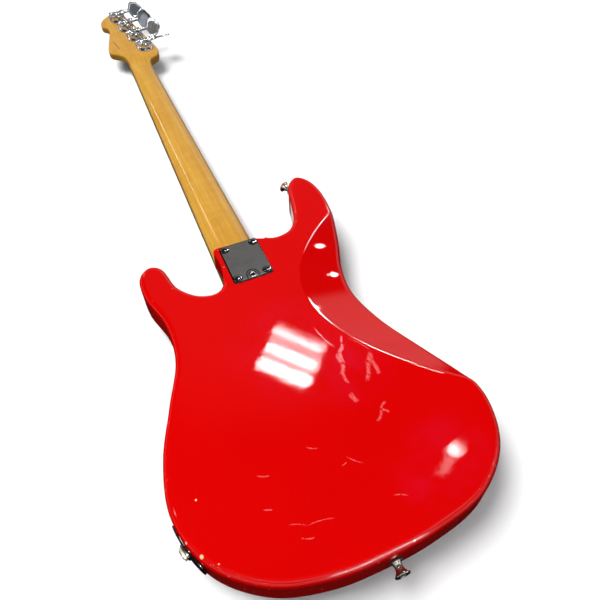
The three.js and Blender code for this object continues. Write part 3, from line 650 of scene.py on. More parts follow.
def make_body(material):
    loop = anticlockwise(closed_curve([(x, y + PLATE_Y) for x, y in BODY_OUTLINE], OUTLINE_POINTS))
    heel = np.array([(-31.0, PLATE_Y + 36), (-31.0, PLATE_Y + 8)])
    near = distance_to(loop, heel)
    loop = relaxed(loop, OUTLINE_PASSES, keep=1 - smoothstep(6, 22, near))
    loop = even(loop, OUTLINE_POINTS, closed=True) * (0.9998, 1)
    by_neck = (np.abs(loop[:, 0] + 4) < 40) & (loop[:, 1] > PLATE_Y + 20)
    trim = HEEL_TRIM * smoothstep(PLATE_Y + 22, PLATE_Y + 35, loop[:, 1])
    loop[:, 1] -= np.where(by_neck, trim, 0)
    normal = outward(loop)
    # the edge is nearly sharp where the neck leaves the body and round everywhere else
    pocket_edge = np.hypot(np.maximum(np.abs(loop[:, 0] + 2) - 27, 0), loop[:, 1] - PLATE_Y - 36)
    side_edge = np.hypot(loop[:, 0] + 31, np.maximum(np.abs(loop[:, 1] - PLATE_Y - 16) - 20, 0))
    radius = EDGE_SHARP + EDGE_ROUND * smoothstep(2, 26, np.minimum(pocket_edge, side_edge))

    shell = Shell()
    inner_loop = loop - normal * (radius + EDGE_MARGIN)[:, None]

    def edge_rows(height, way):
        """Rows of vertices over the rounded edge and a little way onto the broad face."""
        rows = []
        for k in range(EDGE_STEPS + 1):
            a = math.pi / 2 * k / EDGE_STEPS
            p = loop - normal * (radius * (1 - math.cos(a)))[:, None]
            z = height(p[:, 0], p[:, 1]) + way * radius * (1 - math.sin(a))
            rows.append(shell.add(np.column_stack([p, z])))
        flat = height(inner_loop[:, 0], inner_loop[:, 1])
        return rows + [shell.add(np.column_stack([inner_loop, flat]))]

    back_rows, front_rows = edge_rows(back_z, -1), edge_rows(face_z, 1)
    shell.loft(front_rows[::-1] + back_rows)

    # the back's inner points lie close together along the crease of the belly hollow
    grid = grid_of((-176, 170, 4.5), (-956, -446, 4.5)) + 0.37
    sweep = np.linspace(-190, 190, 170)
    edge = sweep ** 2 / (2 * BELLY["radius"] * BELLY["slope"])
    crease = [np.stack(belly_place(edge + off, sweep), 1)
              for off in (-4.2, -2.4, -1.3, -0.6, 0.0, 0.6, 1.3, 2.4, 4.2)]
    level = np.abs(belly_depth(grid[:, 0], grid[:, 1]))
    back_points = np.vstack([grid[level > 2.4], *crease])
    for rows, height, points in ((back_rows, back_z, back_points), (front_rows, face_z, grid)):
        shell.fill(rows[-1], well_inside(points, inner_loop, 2.2),
                   lambda x, y, h=height: float(h(x, y)))

    half = HEEL_W / 2 + 0.3
    pocket = [(-half - 0.2, HEEL_END_Y - 0.3), (half, HEEL_END_Y - 0.3), (half - 0.9, PLATE_Y + 60),
              (-half - 3, PLATE_Y + 60), (-half - 3, PLATE_Y - 16)]
    controls = closed_curve([(-62, -826), (-88, -810), (-112, -826), (-136, -862), (-132, -886),
                             (-112, -896), (-90, -884), (-68, -852)], 48)
    out = Vector((math.cos(math.radians(JACK_ANGLE)), math.sin(math.radians(JACK_ANGLE)), 0))
    jack = Vector(JACK_SPOT)
    bm = carve(shell_bmesh(shell), [
        lambda b: slab(b, pocket, -5, POCKET_Z),
        *[lambda b, x=x, y=y: block(b, x - 24.6, x + 24.6, y - 14.4, y + 14.4, -5, 20)
          for x, y in PICKUPS.values()],
        lambda b: slab(b, controls, -5, 33),
        lambda b: pin(b, jack + out * 8, jack - out * 40, JACK_BORE_R),
    ])
    mark = bm.verts.layers.float.new("edge")
    spots = np.array([v.co[:2] for v in bm.verts])
    away = distance_to(spots, loop)
    for v, gap in zip(bm.verts, away):
        v[mark] = float(1 - smoothstep(1.5, 9, gap)) * (0.55 if 9 < v.co.z < 36 else 1.0)
    return finish_piece("body_shape", bm, material, replaces=["body"], sharp=40)


# ---------------------------------------------------------------- neck and headstock
NUT_W = 38.1
GLUE_Z = -3.5
HEAD_BACK_Z = 15.5
HEAD_FACE_Z = 2.4
# how round the headstock's edges are, on its back and on its face
HEAD_BACK_ROUND, HEAD_FACE_ROUND = 3.4, 2.6
TUNERS = [(20.5, 40), (12.8, 82), (5.2, 124), (-2.5, 166)]
HEAD_OUTLINE = [
    (-19, -6), (-19.4, 8), (-22, 22), (-28, 33), (-37, 41), (-43.5, 48), (-45, 60), (-41, 80),
    (-35, 103), (-29, 130), (-30, 145), (-37, 154), (-38, 165), (-33, 180), (-22, 192),
    (-8, 199), (4, 196), (11, 186), (16, 170), (37, 60), (41, 35), (40.5, 21), (36, 12),
    (27, 8), (20.3, 3), (19, -6),
]


def neck_half(y):
    return NUT_W / 2 + (HEEL_W - NUT_W) / 2 * (y / HEEL_END_Y)


def neck_top(y):
    """Height of the middle of the neck's back: the shaft, then the rise to the headstock."""
    shaft = 11 - 3.6 * y / 566
    rise = smoothstep(-10, 27, y)
    return shaft * (1 - rise) + HEAD_BACK_Z * rise


def quarter_round(t):
    """Height of a quarter circle of radius 1, from 0 at its edge to 1."""
    return math.sqrt(max(0.0, 1 - (1 - t) ** 2))


def neck_front(y):
    """Height of the face that the fingerboard is glued to, then of the headstock's face."""
    return GLUE_Z + (HEAD_FACE_Z - GLUE_Z) * smoothstep(5, 24, y)


def make_neck(material):
    head = closed_curve(HEAD_OUTLINE, 900)
    head = head[head[:, 1] > -1]
    start = int(np.argmax(np.linalg.norm(head - np.roll(head, 1, 0), axis=1)))
    head = np.roll(head, -start, 0)
    if head[0, 0] > 0:
        head = head[::-1]
    # from the heel up the treble side, round the headstock and back down the bass side
    side = np.arange(-540.0, -3.0, 6.0)
    left = np.column_stack([-neck_half(side), side])
    path = np.vstack([left, even(head, 330), left[::-1] * (-1, 1)])
    hold = 1 - smoothstep(-14, -2, path[:, 1])
    path = relaxed(path, 24, keep=hold, closed=False)[::-1]
    normal = outward(path, closed=False)
    straight = 1 - smoothstep(-6, 12, path[:, 1])
    normal = normal * (1 - straight)[:, None]
    normal[:, 0] += straight * np.sign(path[:, 0])
    normal /= np.linalg.norm(normal, axis=1)[:, None]

    path[:, 1] -= 0.26 * smoothstep(150, 199, path[:, 1])
    y = path[:, 1]
    head_part = smoothstep(-26, 16, y)
    width = (neck_half(np.minimum(y, 0)) - 0.4) * (1 - head_part) + HEAD_BACK_ROUND * head_part
    front_z = neck_front(y)
    top = neck_top(y)
    shoulder = 0.34
    easing = 1 - np.cos(np.linspace(0, math.pi / 2, 15))
    parts = np.concatenate([[0.0, 0.004, 0.012, 0.028], easing[2:]])

    shell = Shell()
    back_rows = []
    for t in parts:
        p = path - normal * (width * t)[:, None]
        curve = (1 - (1 - t) ** 2.25) ** (1 / 1.75)
        neck_z = front_z + (top - front_z) * (shoulder + (1 - shoulder) * curve)
        round_z = top - HEAD_BACK_ROUND * (1 - quarter_round(t))
        z = neck_z * (1 - head_part) + round_z * head_part
        back_rows.append(shell.add(np.column_stack([p, z])))
    front_rows = []
    for t in (1.0, 0.75, 0.5, 0.25, 0.08, 0.0):
        p = path - normal * (HEAD_FACE_ROUND * head_part * t)[:, None]
        z = front_z + HEAD_FACE_ROUND * head_part * (1 - quarter_round(t))
        front_rows.append(shell.add(np.column_stack([p, z])))
    shell.loft(front_rows + back_rows, closed=False)

    grid = grid_of((-44, 42, 4.0), (-30, 200, 3.0))
    for ring, height in ((back_rows[-1], neck_top), (front_rows[0], neck_front)):
        loop = np.array([shell.points[i][:2] for i in ring])
        shell.fill(ring, well_inside(grid, loop, 1.8), lambda x, yy, h=height: float(h(yy)))
    ends = [row[0] for row in front_rows + back_rows]
    other = [row[-1] for row in front_rows + back_rows]
    shell.faces.append(tuple(ends + other[::-1]))
    bm = carve(shell_bmesh(shell), [
        *[lambda b, x=x, y=y: pin(b, (x, y, -5), (x, y, 30), 7, 40) for x, y in TUNERS],
        lambda b: pin(b, (0, -2, 2.2), (0, 21, 2.2), 4.6, 32),
    ])
    # the square heel, under the plate
    heel = [(-neck_half(-538) + 0.1, -538), (-HEEL_W / 2, HEEL_END_Y), (HEEL_W / 2, HEEL_END_Y),
            (neck_half(-538) - 0.1, -538)]
    slab(bm, heel, GLUE_Z, POCKET_Z - 0.3)
    return finish_piece("neck_shape", bm, material, replaces=["neck"], sharp=42)


# ---------------------------------------------------------------- small shapes
def rounded(points, radii, steps=6, closed=True):
    """A path of corners with each corner turned into an arc of its own radius."""
    p = np.array(points, float)
    out = []
    for i, r in enumerate(radii):
        if r <= 0 or (not closed and i in (0, len(p) - 1)):
            out.append(tuple(p[i]))
            continue
        a, b = p[i - 1] - p[i], p[(i + 1) % len(p)] - p[i]
        a, b = a / np.linalg.norm(a), b / np.linalg.norm(b)
        half = math.acos(max(-1.0, min(1.0, float(a @ b)))) / 2
        middle = p[i] + (a + b) / np.linalg.norm(a + b) * (r / math.sin(half))
        reach = r / math.tan(half)
        start, end = p[i] + a * reach - middle, p[i] + b * reach - middle
        first = math.atan2(start[1], start[0])
        swing = math.atan2(start[0] * end[1] - start[1] * end[0], start @ end)
        for k in range(steps + 1):
            t = first + swing * k / steps
            out.append((middle[0] + r * math.cos(t), middle[1] + r * math.sin(t)))
    return out


def rounded_box(half_x, half_y, radius, steps):
    corners = [(-half_x, -half_y), (half_x, -half_y), (half_x, half_y), (-half_x, half_y)]
    return rounded(corners, [radius] * 4, steps)


def arc(radius, start, end, count):
    return [(radius * math.cos(t), radius * math.sin(t)) for t in np.linspace(start, end, count)]


def lathe(bm, profile, place=Matrix(), sides=36, closed=False):
    """A turned shape about z from (radius, height) points."""
    rings = []
    for r, h in profile:
        spots = [(0, 0, h)] if r < 1e-6 else [
            (r * math.cos(2 * math.pi * k / sides), r * math.sin(2 * math.pi * k / sides), h)
            for k in range(sides)]
        rings.append([bm.verts.new(place @ Vector(s)) for s in spots])
    pairs = list(zip(rings, rings[1:])) + ([(rings[-1], rings[0])] if closed else [])
    for a, b in pairs:
        for i in range(sides):
            j = (i + 1) % sides
            quad = [a[i % len(a)], a[j % len(a)], b[j % len(b)], b[i % len(b)]]
            quad = list(dict.fromkeys(quad))
            if len(quad) > 2:
                bm.faces.new(quad)


def turned(profile, place=Matrix(), sides=36, closed=False):
    bm = bmesh.new()
    lathe(bm, profile, place, sides, closed)
    return bm


def sheet_metal(bm, loop, z0, z1, edge=0.4, place=Matrix(), steps=3, low_edge=None):
    """A plate on a closed outline, its edges rounded."""
    loop = anticlockwise(np.array(loop, float))
    normal = outward(loop)
    low_edge = edge if low_edge is None else low_edge
    rings = []
    for k in range(steps + 1):
        a = math.pi / 2 * k / steps
        rings.append((low_edge * (1 - math.sin(a)), z0 + low_edge * (1 - math.cos(a))))
    for k in range(steps + 1):
        a = math.pi / 2 * k / steps
        rings.append((edge * (1 - math.cos(a)), z1 - edge * (1 - math.sin(a))))
    made = []
    for inset, z in rings:
        made.append([bm.verts.new(place @ Vector((*q, z))) for q in loop - normal * inset])
    skin(bm, made)


def tube(bm, path, radius, sides=12, place=Matrix()):
    """A round wire along a path, with flat ends."""
    path = [Vector(p) for p in path]
    count = len(path)
    ways = [(path[min(i + 1, count - 1)] - path[max(i - 1, 0)]).normalized() for i in range(count)]
    side = ways[0].orthogonal().normalized()
    rings = []
    for i, (p, way) in enumerate(zip(path, ways)):
        if i:
            side = ways[i - 1].rotation_difference(way) @ side
            side = (side - way * side.dot(way)).normalized()
        other = way.cross(side)
        r = radius if isinstance(radius, (int, float)) else radius[i]
        rings.append([bm.verts.new(place @ (p + (side * math.cos(t) + other * math.sin(t)) * r))
                      for t in (2 * math.pi * k / sides for k in range(sides))])
    skin(bm, rings)


def curved(stops, reach, steps=5):
    """A path through stops with its corners rounded within a reach of each."""
    p = [Vector(s) for s in stops]
    out = [p[0]]
    for before, here, after in zip(p, p[1:], p[2:]):
        a = here + (before - here).normalized() * min(reach, (before - here).length * 0.45)
        b = here + (after - here).normalized() * min(reach, (after - here).length * 0.45)
        for k in range(steps + 1):
            t = k / steps
            out.append(a * (1 - t) ** 2 + here * (2 * t * (1 - t)) + b * t * t)
    return out + [p[-1]]


def coil(radius, pitch, turns, start=0.0, rise=0.0, steps=20):
    count = int(turns * steps)
    return [(radius * math.cos(start + 2 * math.pi * k / steps),
             radius * math.sin(start + 2 * math.pi * k / steps), rise + pitch * k / steps)
            for k in range(count + 1)]


def cross_shape(reach, wide):
    quarter = [(reach, -wide), (reach, wide), (wide * 1.3, wide * 1.3)]
    out = []
    for _ in range(4):
        out += quarter
        quarter = [(-y, x) for x, y in quarter]
    return out


def turned_screw(profile, reach, wide, deep, sides=36):
    """Mesh of a screw about z with a cross recess in its top."""
    top = max(h for _, h in profile)
    bm = carve(turned(profile, sides=sides), [
        lambda b: slab(b, cross_shape(reach, wide), top - deep, top + 0.6, 0.42)])
    return mesh_of(bm, "screw")


def stamp(mesh, place):
    """A copy of a mesh, moved into place."""
    bm = bmesh.new()
    bm.from_mesh(mesh)
    return move(bm, place)


def merged(first, *others):
    """Adds finished bmeshes to the first one."""
    for other in others:
        mesh = mesh_of(other, "part")
        first.from_mesh(mesh)
        bpy.data.meshes.remove(mesh)
    return first


# ---------------------------------------------------------------- neck joint hardware
BOLTS = [(sx * 19.05, PLATE_Y + sy * 25.4) for sx, sy in ((-1, 1), (1, 1), (1, -1), (-1, -1))]
TILT_Y = PLATE_Y - 25.4
PLATE_Z = BODY_T + 0.3
PLATE_TOP = PLATE_Z + 1.7
BOLT_TURNS = (17, 48, -9, 71)


def make_neck_plate():
    bm = bmesh.new()
    outline = [(x, y + PLATE_Y) for x, y in rounded_box(25.5, 32, 4.2, 8)]
    sheet_metal(bm, outline, PLATE_Z, PLATE_TOP, 1.6, steps=6, low_edge=0.1)
    # the fine groove pressed round the tilt screw's disc
    ring = arc(7.9, 0, math.pi, 25) + [(-7.9, -12), (-6.7, -12)]
    ring += arc(6.7, math.pi, 0, 25) + [(6.7, -12), (7.9, -12)]
    bm = carve(bm, [
        *[lambda b, x=x, y=y: pin(b, (x, y, PLATE_Z - 0.6), (x, y, PLATE_Z + 2.1), 2.5, 36, 6.7)
          for x, y in BOLTS],
        lambda b: pin(b, (0, TILT_Y, PLATE_Z - 1), (0, TILT_Y, PLATE_Z + 3), 5.1, 48),
        lambda b: slab(b, [(x, y + TILT_Y) for x, y in ring], PLATE_Z + 1.15, PLATE_Z + 3),
    ])
    bm.normal_update()
    # the flat top keeps the plating; the bevelled edge and the countersinks take a near-black copy of
    # it: painted shade
    for face in bm.faces:
        flat_top = face.normal.z > 0.9995 and face.calc_center_median().z > PLATE_Z + 1.6
        face.material_index = 0 if flat_top else 1
    finish_piece("neck_plate_sheet", bm, [PLATE, PLATE_SHADE], replaces=["neck_plate"],
                 sharp=5)


def paint_shade(bm, x, y, reach, height):
    """Paints shade on a driver recess, or a head's rim, with the second material: what lies lower than
    height.
    """
    for face in bm.faces:
        middle = face.calc_center_median()
        if math.hypot(middle.x - x, middle.y - y) < reach and middle.z < height:
            face.material_index = 1


def make_bolts():
    z = PLATE_TOP
    profile = [(0, 1), (1.1, 1.2), (2.4, 4), (2.4, z - 1.9), (4.9, z + 0.05), (5.15, z + 0.2),
               (5.1, z + 0.45), (4.5, z + 0.8), (3.4, z + 1.12), (1.8, z + 1.33), (0, z + 1.4)]
    mesh = turned_screw(profile, 2.8, 0.55, 2.2, 40)
    for k, (x, y) in enumerate(BOLTS):
        bm = stamp(mesh, at(x, y, 0, (BOLT_TURNS[k], "Z")))
        # each head's cross recess and rim get painted shade
        paint_shade(bm, x, y, 2.85, z + 1.0)
        paint_shade(bm, x, y, 5.4, z + 0.5)
        finish_piece(f"neck_screw_{k + 1}", bm, [BOLT, PLATE_SHADE], replaces=[f"neck_bolt_{k + 1}"],
                     sharp=30)
    top = PLATE_Z + 1.3
    bm = turned([(0, POCKET_Z + 0.3), (4.7, POCKET_Z + 0.3), (5, POCKET_Z + 0.8), (5, top - 0.7),
                 (4.85, top - 0.25), (4.4, top - 0.02), (3.2, top), (2.5, top - 0.15), (0, top - 0.15)],
            sides=48)
    bm = carve(bm, [lambda b: pin(b, (0, 0, top - 1.3), (0, 0, top + 1), 1.9, 6)])
    move(bm, at(0, TILT_Y, 0))
    # the disc's hex socket and rim get painted shade
    paint_shade(bm, 0, TILT_Y, 2.1, top - 0.3)
    paint_shade(bm, 0, TILT_Y, 5.2, top - 0.1)
    finish_piece("tilt_screw_shape", bm, [DISC, PLATE_SHADE], body="tilt_screw", replaces=["micro_tilt_screw"],
                 sharp=30)


# ---------------------------------------------------------------- tuning machines
KEY_TURN = [-27, 57, 75, 40]
GEAR_Z = 22.5
WORM_DY = 15.8
POST_R = 4.8
GEAR_TEETH = 20
REST_Z = -20.5


def clover():
    """The outline of a key's leaf: one half, then its mirror image."""
    corners = [Vector(p) for p in ((24, -2.4), (27, -3), (27, -16.5), (36, -16.5), (44, -16.5),
                                   (47, -12), (47.5, -8.5), (51, -7), (52.6, -3), (52.6, 0))]
    half = []
    for k in (0, 3, 6):
        a, b, c, d = corners[k:k + 4]
        for i in range(14):
            t = i / 14
            u = 1 - t
            half.append(a * u ** 3 + b * 3 * t * u ** 2 + c * 3 * t * t * u + d * t ** 3)
    half = [(p.x, p.y) for p in half] + [(52.6, 0.0)]
    return half + [(x, -y) for x, y in half[-2::-1]]


def make_key(number, turn, place):
    bm = bmesh.new()
    along = at(0, 0, 0, (90, "Y"))
    lathe(bm, [(0, -13.8), (1.9, -13.8), (2.6, -13.2), (2.6, -9.2), (2.75, -8.9), (2.75, 8.9),
               (2.6, 9.2), (2.6, 13.2), (3.6, 13.25), (4.2, 13.7), (4.2, 16.2), (4.0, 16.9),
               (3.3, 17.3), (3.2, 18.5), (3.3, 20.5), (3.0, 23.5), (2.7, 25.6), (2.0, 27.4),
               (0, 28.2)], along, 32)
    tube(bm, coil(2.95, 3.69, 4.5, rise=-8.3), 0.72, 8, along)
    outline = clover()
    shapes = ((1.0, 0.0), (0.995, 0.55), (0.975, 1.0), (0.94, 1.35), (0.90, 1.5), (0.85, 1.42),
              (0.79, 1.15), (0.70, 1.02), (0.45, 1.0), (0.15, 1.0))
    top = [[(38 + (x - 38) * s, y * s, z) for x, y in outline] for s, z in shapes]
    low = [[(x, y, -z) for x, y, z in loop] for loop in top[:0:-1]]
    rings = [[bm.verts.new(p) for p in loop] for loop in low + top]
    skin(bm, rings, caps=False)
    n = len(outline)
    for ring in (rings[0], rings[-1]):
        centre = bm.verts.new((38, 0, ring[0].co.z))
        for i in range(n):
            bm.faces.new((ring[i], ring[(i + 1) % n], centre))
    move(bm, place @ at(0, 0, 0, (turn, "X")))
    finish_piece(f"key_shape_{number}", bm, KEY, body=f"key_{number}",
                 replaces=[f"tuner_key_{number}"], sharp=38)


def make_post(number, x, y):
    gear = bmesh.new()
    loop = []
    for k in range(GEAR_TEETH):
        for part, r in ((0.0, 10.25), (0.22, 10.3), (0.34, 11.2), (0.42, 11.6), (0.58, 11.6),
                        (0.66, 11.2), (0.78, 10.3)):
            t = (k + part) * math.pi / (GEAR_TEETH / 2)
            loop.append((r * math.cos(t), r * math.sin(t)))
    sheet_metal(gear, loop, GEAR_Z - 2.6, GEAR_Z + 2.6, 0.3, steps=2)
    gear = carve(gear, [
        lambda b: lathe(b, [(6.2, GEAR_Z + 1.2), (7.4, GEAR_Z + 1.2), (9.6, GEAR_Z + 2.7),
                            (9.6, GEAR_Z + 3.2), (6.2, GEAR_Z + 3.2)], sides=48, closed=True)])
    shaft = turned([(0, REST_Z), (4.4, REST_Z), (4.95, REST_Z + 0.25), (5.3, REST_Z + 0.7),
                    (5.35, REST_Z + 1.6), (5.1, REST_Z + 3.5), (4.85, REST_Z + 6), (4.85, REST_Z + 8.4),
                    (5.1, REST_Z + 9.2), (4.8, REST_Z + 10.6), (4.75, REST_Z + 16), (4.75, GEAR_Z - 2.4),
                    (6, GEAR_Z - 2.3), (6.6, GEAR_Z + 2.0), (6.5, GEAR_Z + 2.6), (5.9, GEAR_Z + 2.9),
                    (5.2, GEAR_Z + 2.5), (4.7, GEAR_Z + 2.6), (4.6, GEAR_Z + 3.0), (4.2, GEAR_Z + 3.3),
                    (3.0, GEAR_Z + 3.5), (1.5, GEAR_Z + 3.58), (0, GEAR_Z + 3.6)], sides=40)
    shaft = carve(shaft, [
        lambda b: block(b, -1.4, 1.4, -9, 9, REST_Z - 2, REST_Z + 6),
        lambda b: pin(b, (0, 0, REST_Z - 2), (0, 0, REST_Z + 10), 1.6, 16),
        lambda b: block(b, -4.4, 4.4, -0.65, 0.65, GEAR_Z + 2.6, GEAR_Z + 6),
    ])
    bm = merged(shaft, gear)
    move(bm, at(x, y, 0))
    finish_piece(f"post_shape_{number}", bm, CHROME, body=f"post_{number}",
                 replaces=[f"tuner_post_{number}"], sharp=32)


def make_tuner_plate(number, x, y, small):
    z0 = HEAD_BACK_Z + 0.3
    outline = arc(15, math.pi, 2 * math.pi, 33) + [(15, 22.2), (14.5, 23.5), (13.2, 24),
                                                   (-13.2, 24), (-14.5, 23.5), (-15, 22.2)]
    bm = bmesh.new()
    sheet_metal(bm, outline, z0, z0 + 1.6, 0.6, steps=4, low_edge=0.1)
    bm = carve(bm, [lambda b: pin(b, (0, 0, 0), (0, 0, 40), POST_R + 0.3, 32)])
    for low in (-12.6, 9.4):
        ear = bmesh.new()
        profile = rounded([(WORM_DY - 5.6, z0 + 1), (WORM_DY + 5.6, z0 + 1), (WORM_DY + 5.6, 27.1),
                           (WORM_DY - 5.6, 27.1)], [0, 0, 4.6, 4.6], 8)
        sheet_metal(ear, profile, low, low + 3.2, 0.5, ALONG_X, 3)
        ear = carve(ear, [lambda b: pin(b, (low - 3, WORM_DY, GEAR_Z),
                                        (low + 6, WORM_DY, GEAR_Z), 2.9, 32)])
        bm = merged(bm, ear)
    move(bm, at(x, y, 0))
    finish_piece(f"tuner_base_{number}", bm, CHROME, replaces=[f"tuner_plate_{number}"],
                 sharp=30)
    for k, (dx, dy) in enumerate(((-11.4, -4.6), (11.4, -4.6), (0, -13.2))):
        screw = stamp(small, at(x + dx, y + dy, z0 + 1.55, (23 * (k + number * 2), "Z")))
        finish_piece(f"tuner_screw_{number}_{k + 1}", screw, SCREW, sharp=30)
    bm = turned([(5.1, -3.2), (7.9, -3.2), (8.8, -2.9), (9.3, -2.2), (9.4, -1.2), (9.4, 1.5),
                 (9.2, 2.1), (6.7, 2.1), (6.7, 13.2), (6.4, 13.6), (5.1, 13.6)],
            Matrix.Translation((x, y, 0)), 48, closed=True)
    finish_piece(f"ferrule_shape_{number}", bm, CHROME, replaces=[f"tuner_ferrule_{number}"],
                 sharp=32)


def make_headstock_hardware():
    small = turned_screw([(0, -2), (1.2, -2), (1.2, 0.0), (2.35, 0.02), (2.4, 0.3), (2.1, 0.75),
                          (1.4, 1.1), (0.6, 1.22), (0, 1.25)], 1.35, 0.32, 0.9, 24)
    for k, (x, y) in enumerate(TUNERS):
        make_tuner_plate(k + 1, x, y, small)
        make_key(k + 1, KEY_TURN[k], at(x, y + WORM_DY, GEAR_Z))
        make_post(k + 1, x, y)
    bm = turned([(0, -8.6), (4.4, -8.55), (5.6, -8.3), (7.0, -7.6), (7.6, -7.0), (7.55, -6.6),
                 (7.0, -6.4), (3.2, -6.4), (2.4, -6.0), (2.2, -5.2), (2.2, 2.1), (1.5, 2.1), (1.5, 7),
                 (0, 8.4)], Matrix.Translation((-5.8, 101, 0)), 40)
    finish_piece("string_tree_shape", bm, CHROME, replaces=["string_tree"], sharp=32)
    bm = turned(rounded([(0, 5.3), (4, 5.3), (4, 15), (0, 15)], [0, 0.5, 0.6, 0], 3, closed=False),
            at(0, 0, 2.2, (-90, "X")), 40)
    bm = carve(bm, [lambda b: pin(b, (0, 9, 2.2), (0, 18, 2.2), 2.4, 6)])
    finish_piece("truss_nut_shape", bm, STEEL, body="truss_nut", replaces=["truss_rod_nut"],
                 sharp=32)


# ---------------------------------------------------------------- strap buttons and cable socket
HORN_ANGLE = 118


def make_strap_buttons():
    profile = rounded([(2.3, 0), (5.4, 0), (5.1, 1.4), (3.9, 4.5), (4.3, 8.5), (6.6, 11.4),
                       (7.9, 12.6), (7.7, 13.7), (7.0, 14.2), (4.5, 14.2), (2.4, 11.7)],
                      [0, 0.5, 0, 4.5, 5.5, 0, 0.8, 0, 0.5, 0, 0], 5)
    mesh = turned_screw([(0, -24), (0.6, -23.6), (2, -20), (2, 11.7), (3.4, 13.4), (3.5, 13.7),
                         (2.9, 14.1), (1.6, 14.3), (0, 14.35)], 2.2, 0.45, 1.7, 32)
    lean = math.radians(HORN_ANGLE)
    horn = (111.5 + math.cos(lean) * 0.6, PLATE_Y + 120.6 + math.sin(lean) * 0.6, 22)
    seats = [(horn, HORN_ANGLE), ((3, -952.5, 22), -90)]
    for k, (spot, angle) in enumerate(seats):
        place = at(*spot, (angle, "Z"), (90, "Y"))
        bm = turned(profile, place, 56, closed=True)
        finish_piece(f"button_shape_{k + 1}", bm, BUTTON, replaces=[f"strap_button_{k + 1}"],
                     sharp=30)
        finish_piece(f"button_screw_{k + 1}", stamp(mesh, place), STEEL,
                     replaces=[f"strap_screw_{k + 1}"], sharp=30)
        # felt washer under the button's foot
        bm = turned(rounded([(3, -0.1), (7.2, -0.1), (7.2, 0.9), (3, 0.9)], [0, 0.3, 0.4, 0], 3),
                place, 40, closed=True)
        finish_piece(f"button_felt_{k + 1}", bm, FELT, sharp=40)


JACK_SPOT = (-168.9, -869, 22.5)
JACK_ANGLE = 195.5
JACK_AT = at(*JACK_SPOT, (JACK_ANGLE, "Z"))
JACK_SHEET_AT = JACK_AT @ at(-1.3, 0, 0, (1.6, "Z"))


def make_jack():
    shell = Shell()
    loop = even(np.array(rounded_box(26, 13.5, 8, 8)), 120, closed=True)
    normal = outward(loop)
    rings = []
    for inset, out in ((0.5, 0.0), (0.1, 0.1), (0, 0.5), (0, 1.0), (0.12, 1.3), (0.45, 1.54),
                       (1.0, 1.6)):
        rings.append(shell.add(np.column_stack([loop - normal * inset, np.full(len(loop), out)])))
    shell.loft(rings)
    grid = grid_of((-25, 26, 2.5), (-12, 13, 2.4))
    for ring, out in ((rings[-1], 1.6), (rings[0], 0.0)):
        inner = np.array([shell.points[i][:2] for i in ring])
        shell.fill(ring, well_inside(grid, inner, 1.2), lambda x, y, out=out: out)
    # bent to the curve of the body's side
    curve = 118
    shell.points = [((curve + w) * math.cos(s / curve) - curve + 0.3,
                     (curve + w) * math.sin(s / curve), h) for s, h, w in shell.points]
    sinks = []
    for t in (-19.5 / curve, 19.5 / curve):
        way = Vector((math.cos(t), math.sin(t), 0))
        sinks.append((way * (curve - 2) - Vector((curve, 0, 0)), way))
    bm = carve(shell_bmesh(shell), [
        lambda b: pin(b, (-9, 0, 0), (9, 0, 0), 5, 40),
        *[lambda b, p=p, w=w: pin(b, p + w * 1.5, p + w * 4.6, 1.4, 32, 4.6) for p, w in sinks],
    ])
    move(bm, JACK_SHEET_AT)
    finish_piece("jack_plate_shape", bm, SOCKET, replaces=["jack_plate"], sharp=30)
    mesh = turned_screw([(0, -14), (0.5, -13.6), (1.5, -11), (1.5, 0.6), (3.5, 3.0), (3.55, 3.25),
                         (3.0, 3.7), (1.7, 3.98), (0, 4.05)], 1.9, 0.4, 1.3, 28)
    for k, (p, w) in enumerate(sinks):
        angle = math.degrees(math.atan2(w.y, w.x))
        place = JACK_SHEET_AT @ at(p.x, p.y, p.z, (angle, "Z"), (90, "Y"), (31 + 50 * k, "Z"))
        place = place @ Matrix.Translation((0, 0, 0.2))
        finish_piece(f"jack_screw_{k + 1}", stamp(mesh, place), SCREW,
                     sharp=30)
    out = JACK_AT @ at(0, 0, 0, (90, "Y"))
    bm = turned(rounded([(3.3, -9), (4.6, -9), (4.6, 5.6), (3.3, 5.6)], [0, 0, 0.5, 0.6], 3), out, 40,
            closed=True)
    lathe(bm, [(4.6, -4.2), (8.4, -4.2), (8.6, -4.0), (8.6, -2.6), (8.4, -2.4), (4.6, -2.4)], out, 40,
          closed=True)
    for x0, x1, y0, y1, z0, z1 in ((-30, -4, -6.6, 6.6, 5.6, 6.8), (-30, -28.8, -3.6, 3.6, -0.6, 6),
                                   (-26, -4, -3.2, 3.2, -7.4, -6.4)):
        move(bm, JACK_AT, block(bm, x0, x1, y0, y1, z0, z1))
    finish_piece("jack_socket_shape", bm, NICKEL, replaces=["jack_socket"], sharp=30)
    bm = bmesh.new()
    hexagon = [(6.9 * math.cos(t), 6.9 * math.sin(t)) for t in
               (math.radians(30 * k) for k in range(0, 12, 2))]
    sheet_metal(bm, rounded(hexagon, [0.5] * 6, 3), 2.5, 4.9, 0.5, out, 3)
    bore = [(0, 0), (4.9, 0), (4.9, 4.4), (5.5, 5.4), (0, 5.4)]
    bm = carve(bm, [lambda b: lathe(b, bore, out, 40)])
    finish_piece("jack_nut_shape", bm, GOLD, replaces=["jack_nut"], sharp=30)
    bm = turned(rounded([(4.9, 0.5), (8.4, 0.5), (8.4, 1.8), (7.4, 2.0), (7.4, 2.5), (4.9, 2.5)],
                        [0, 0.2, 0.2, 0.1, 0.2, 0], 2), out, 48,
            closed=True)
    finish_piece("jack_washer", bm, NICKEL, sharp=30)


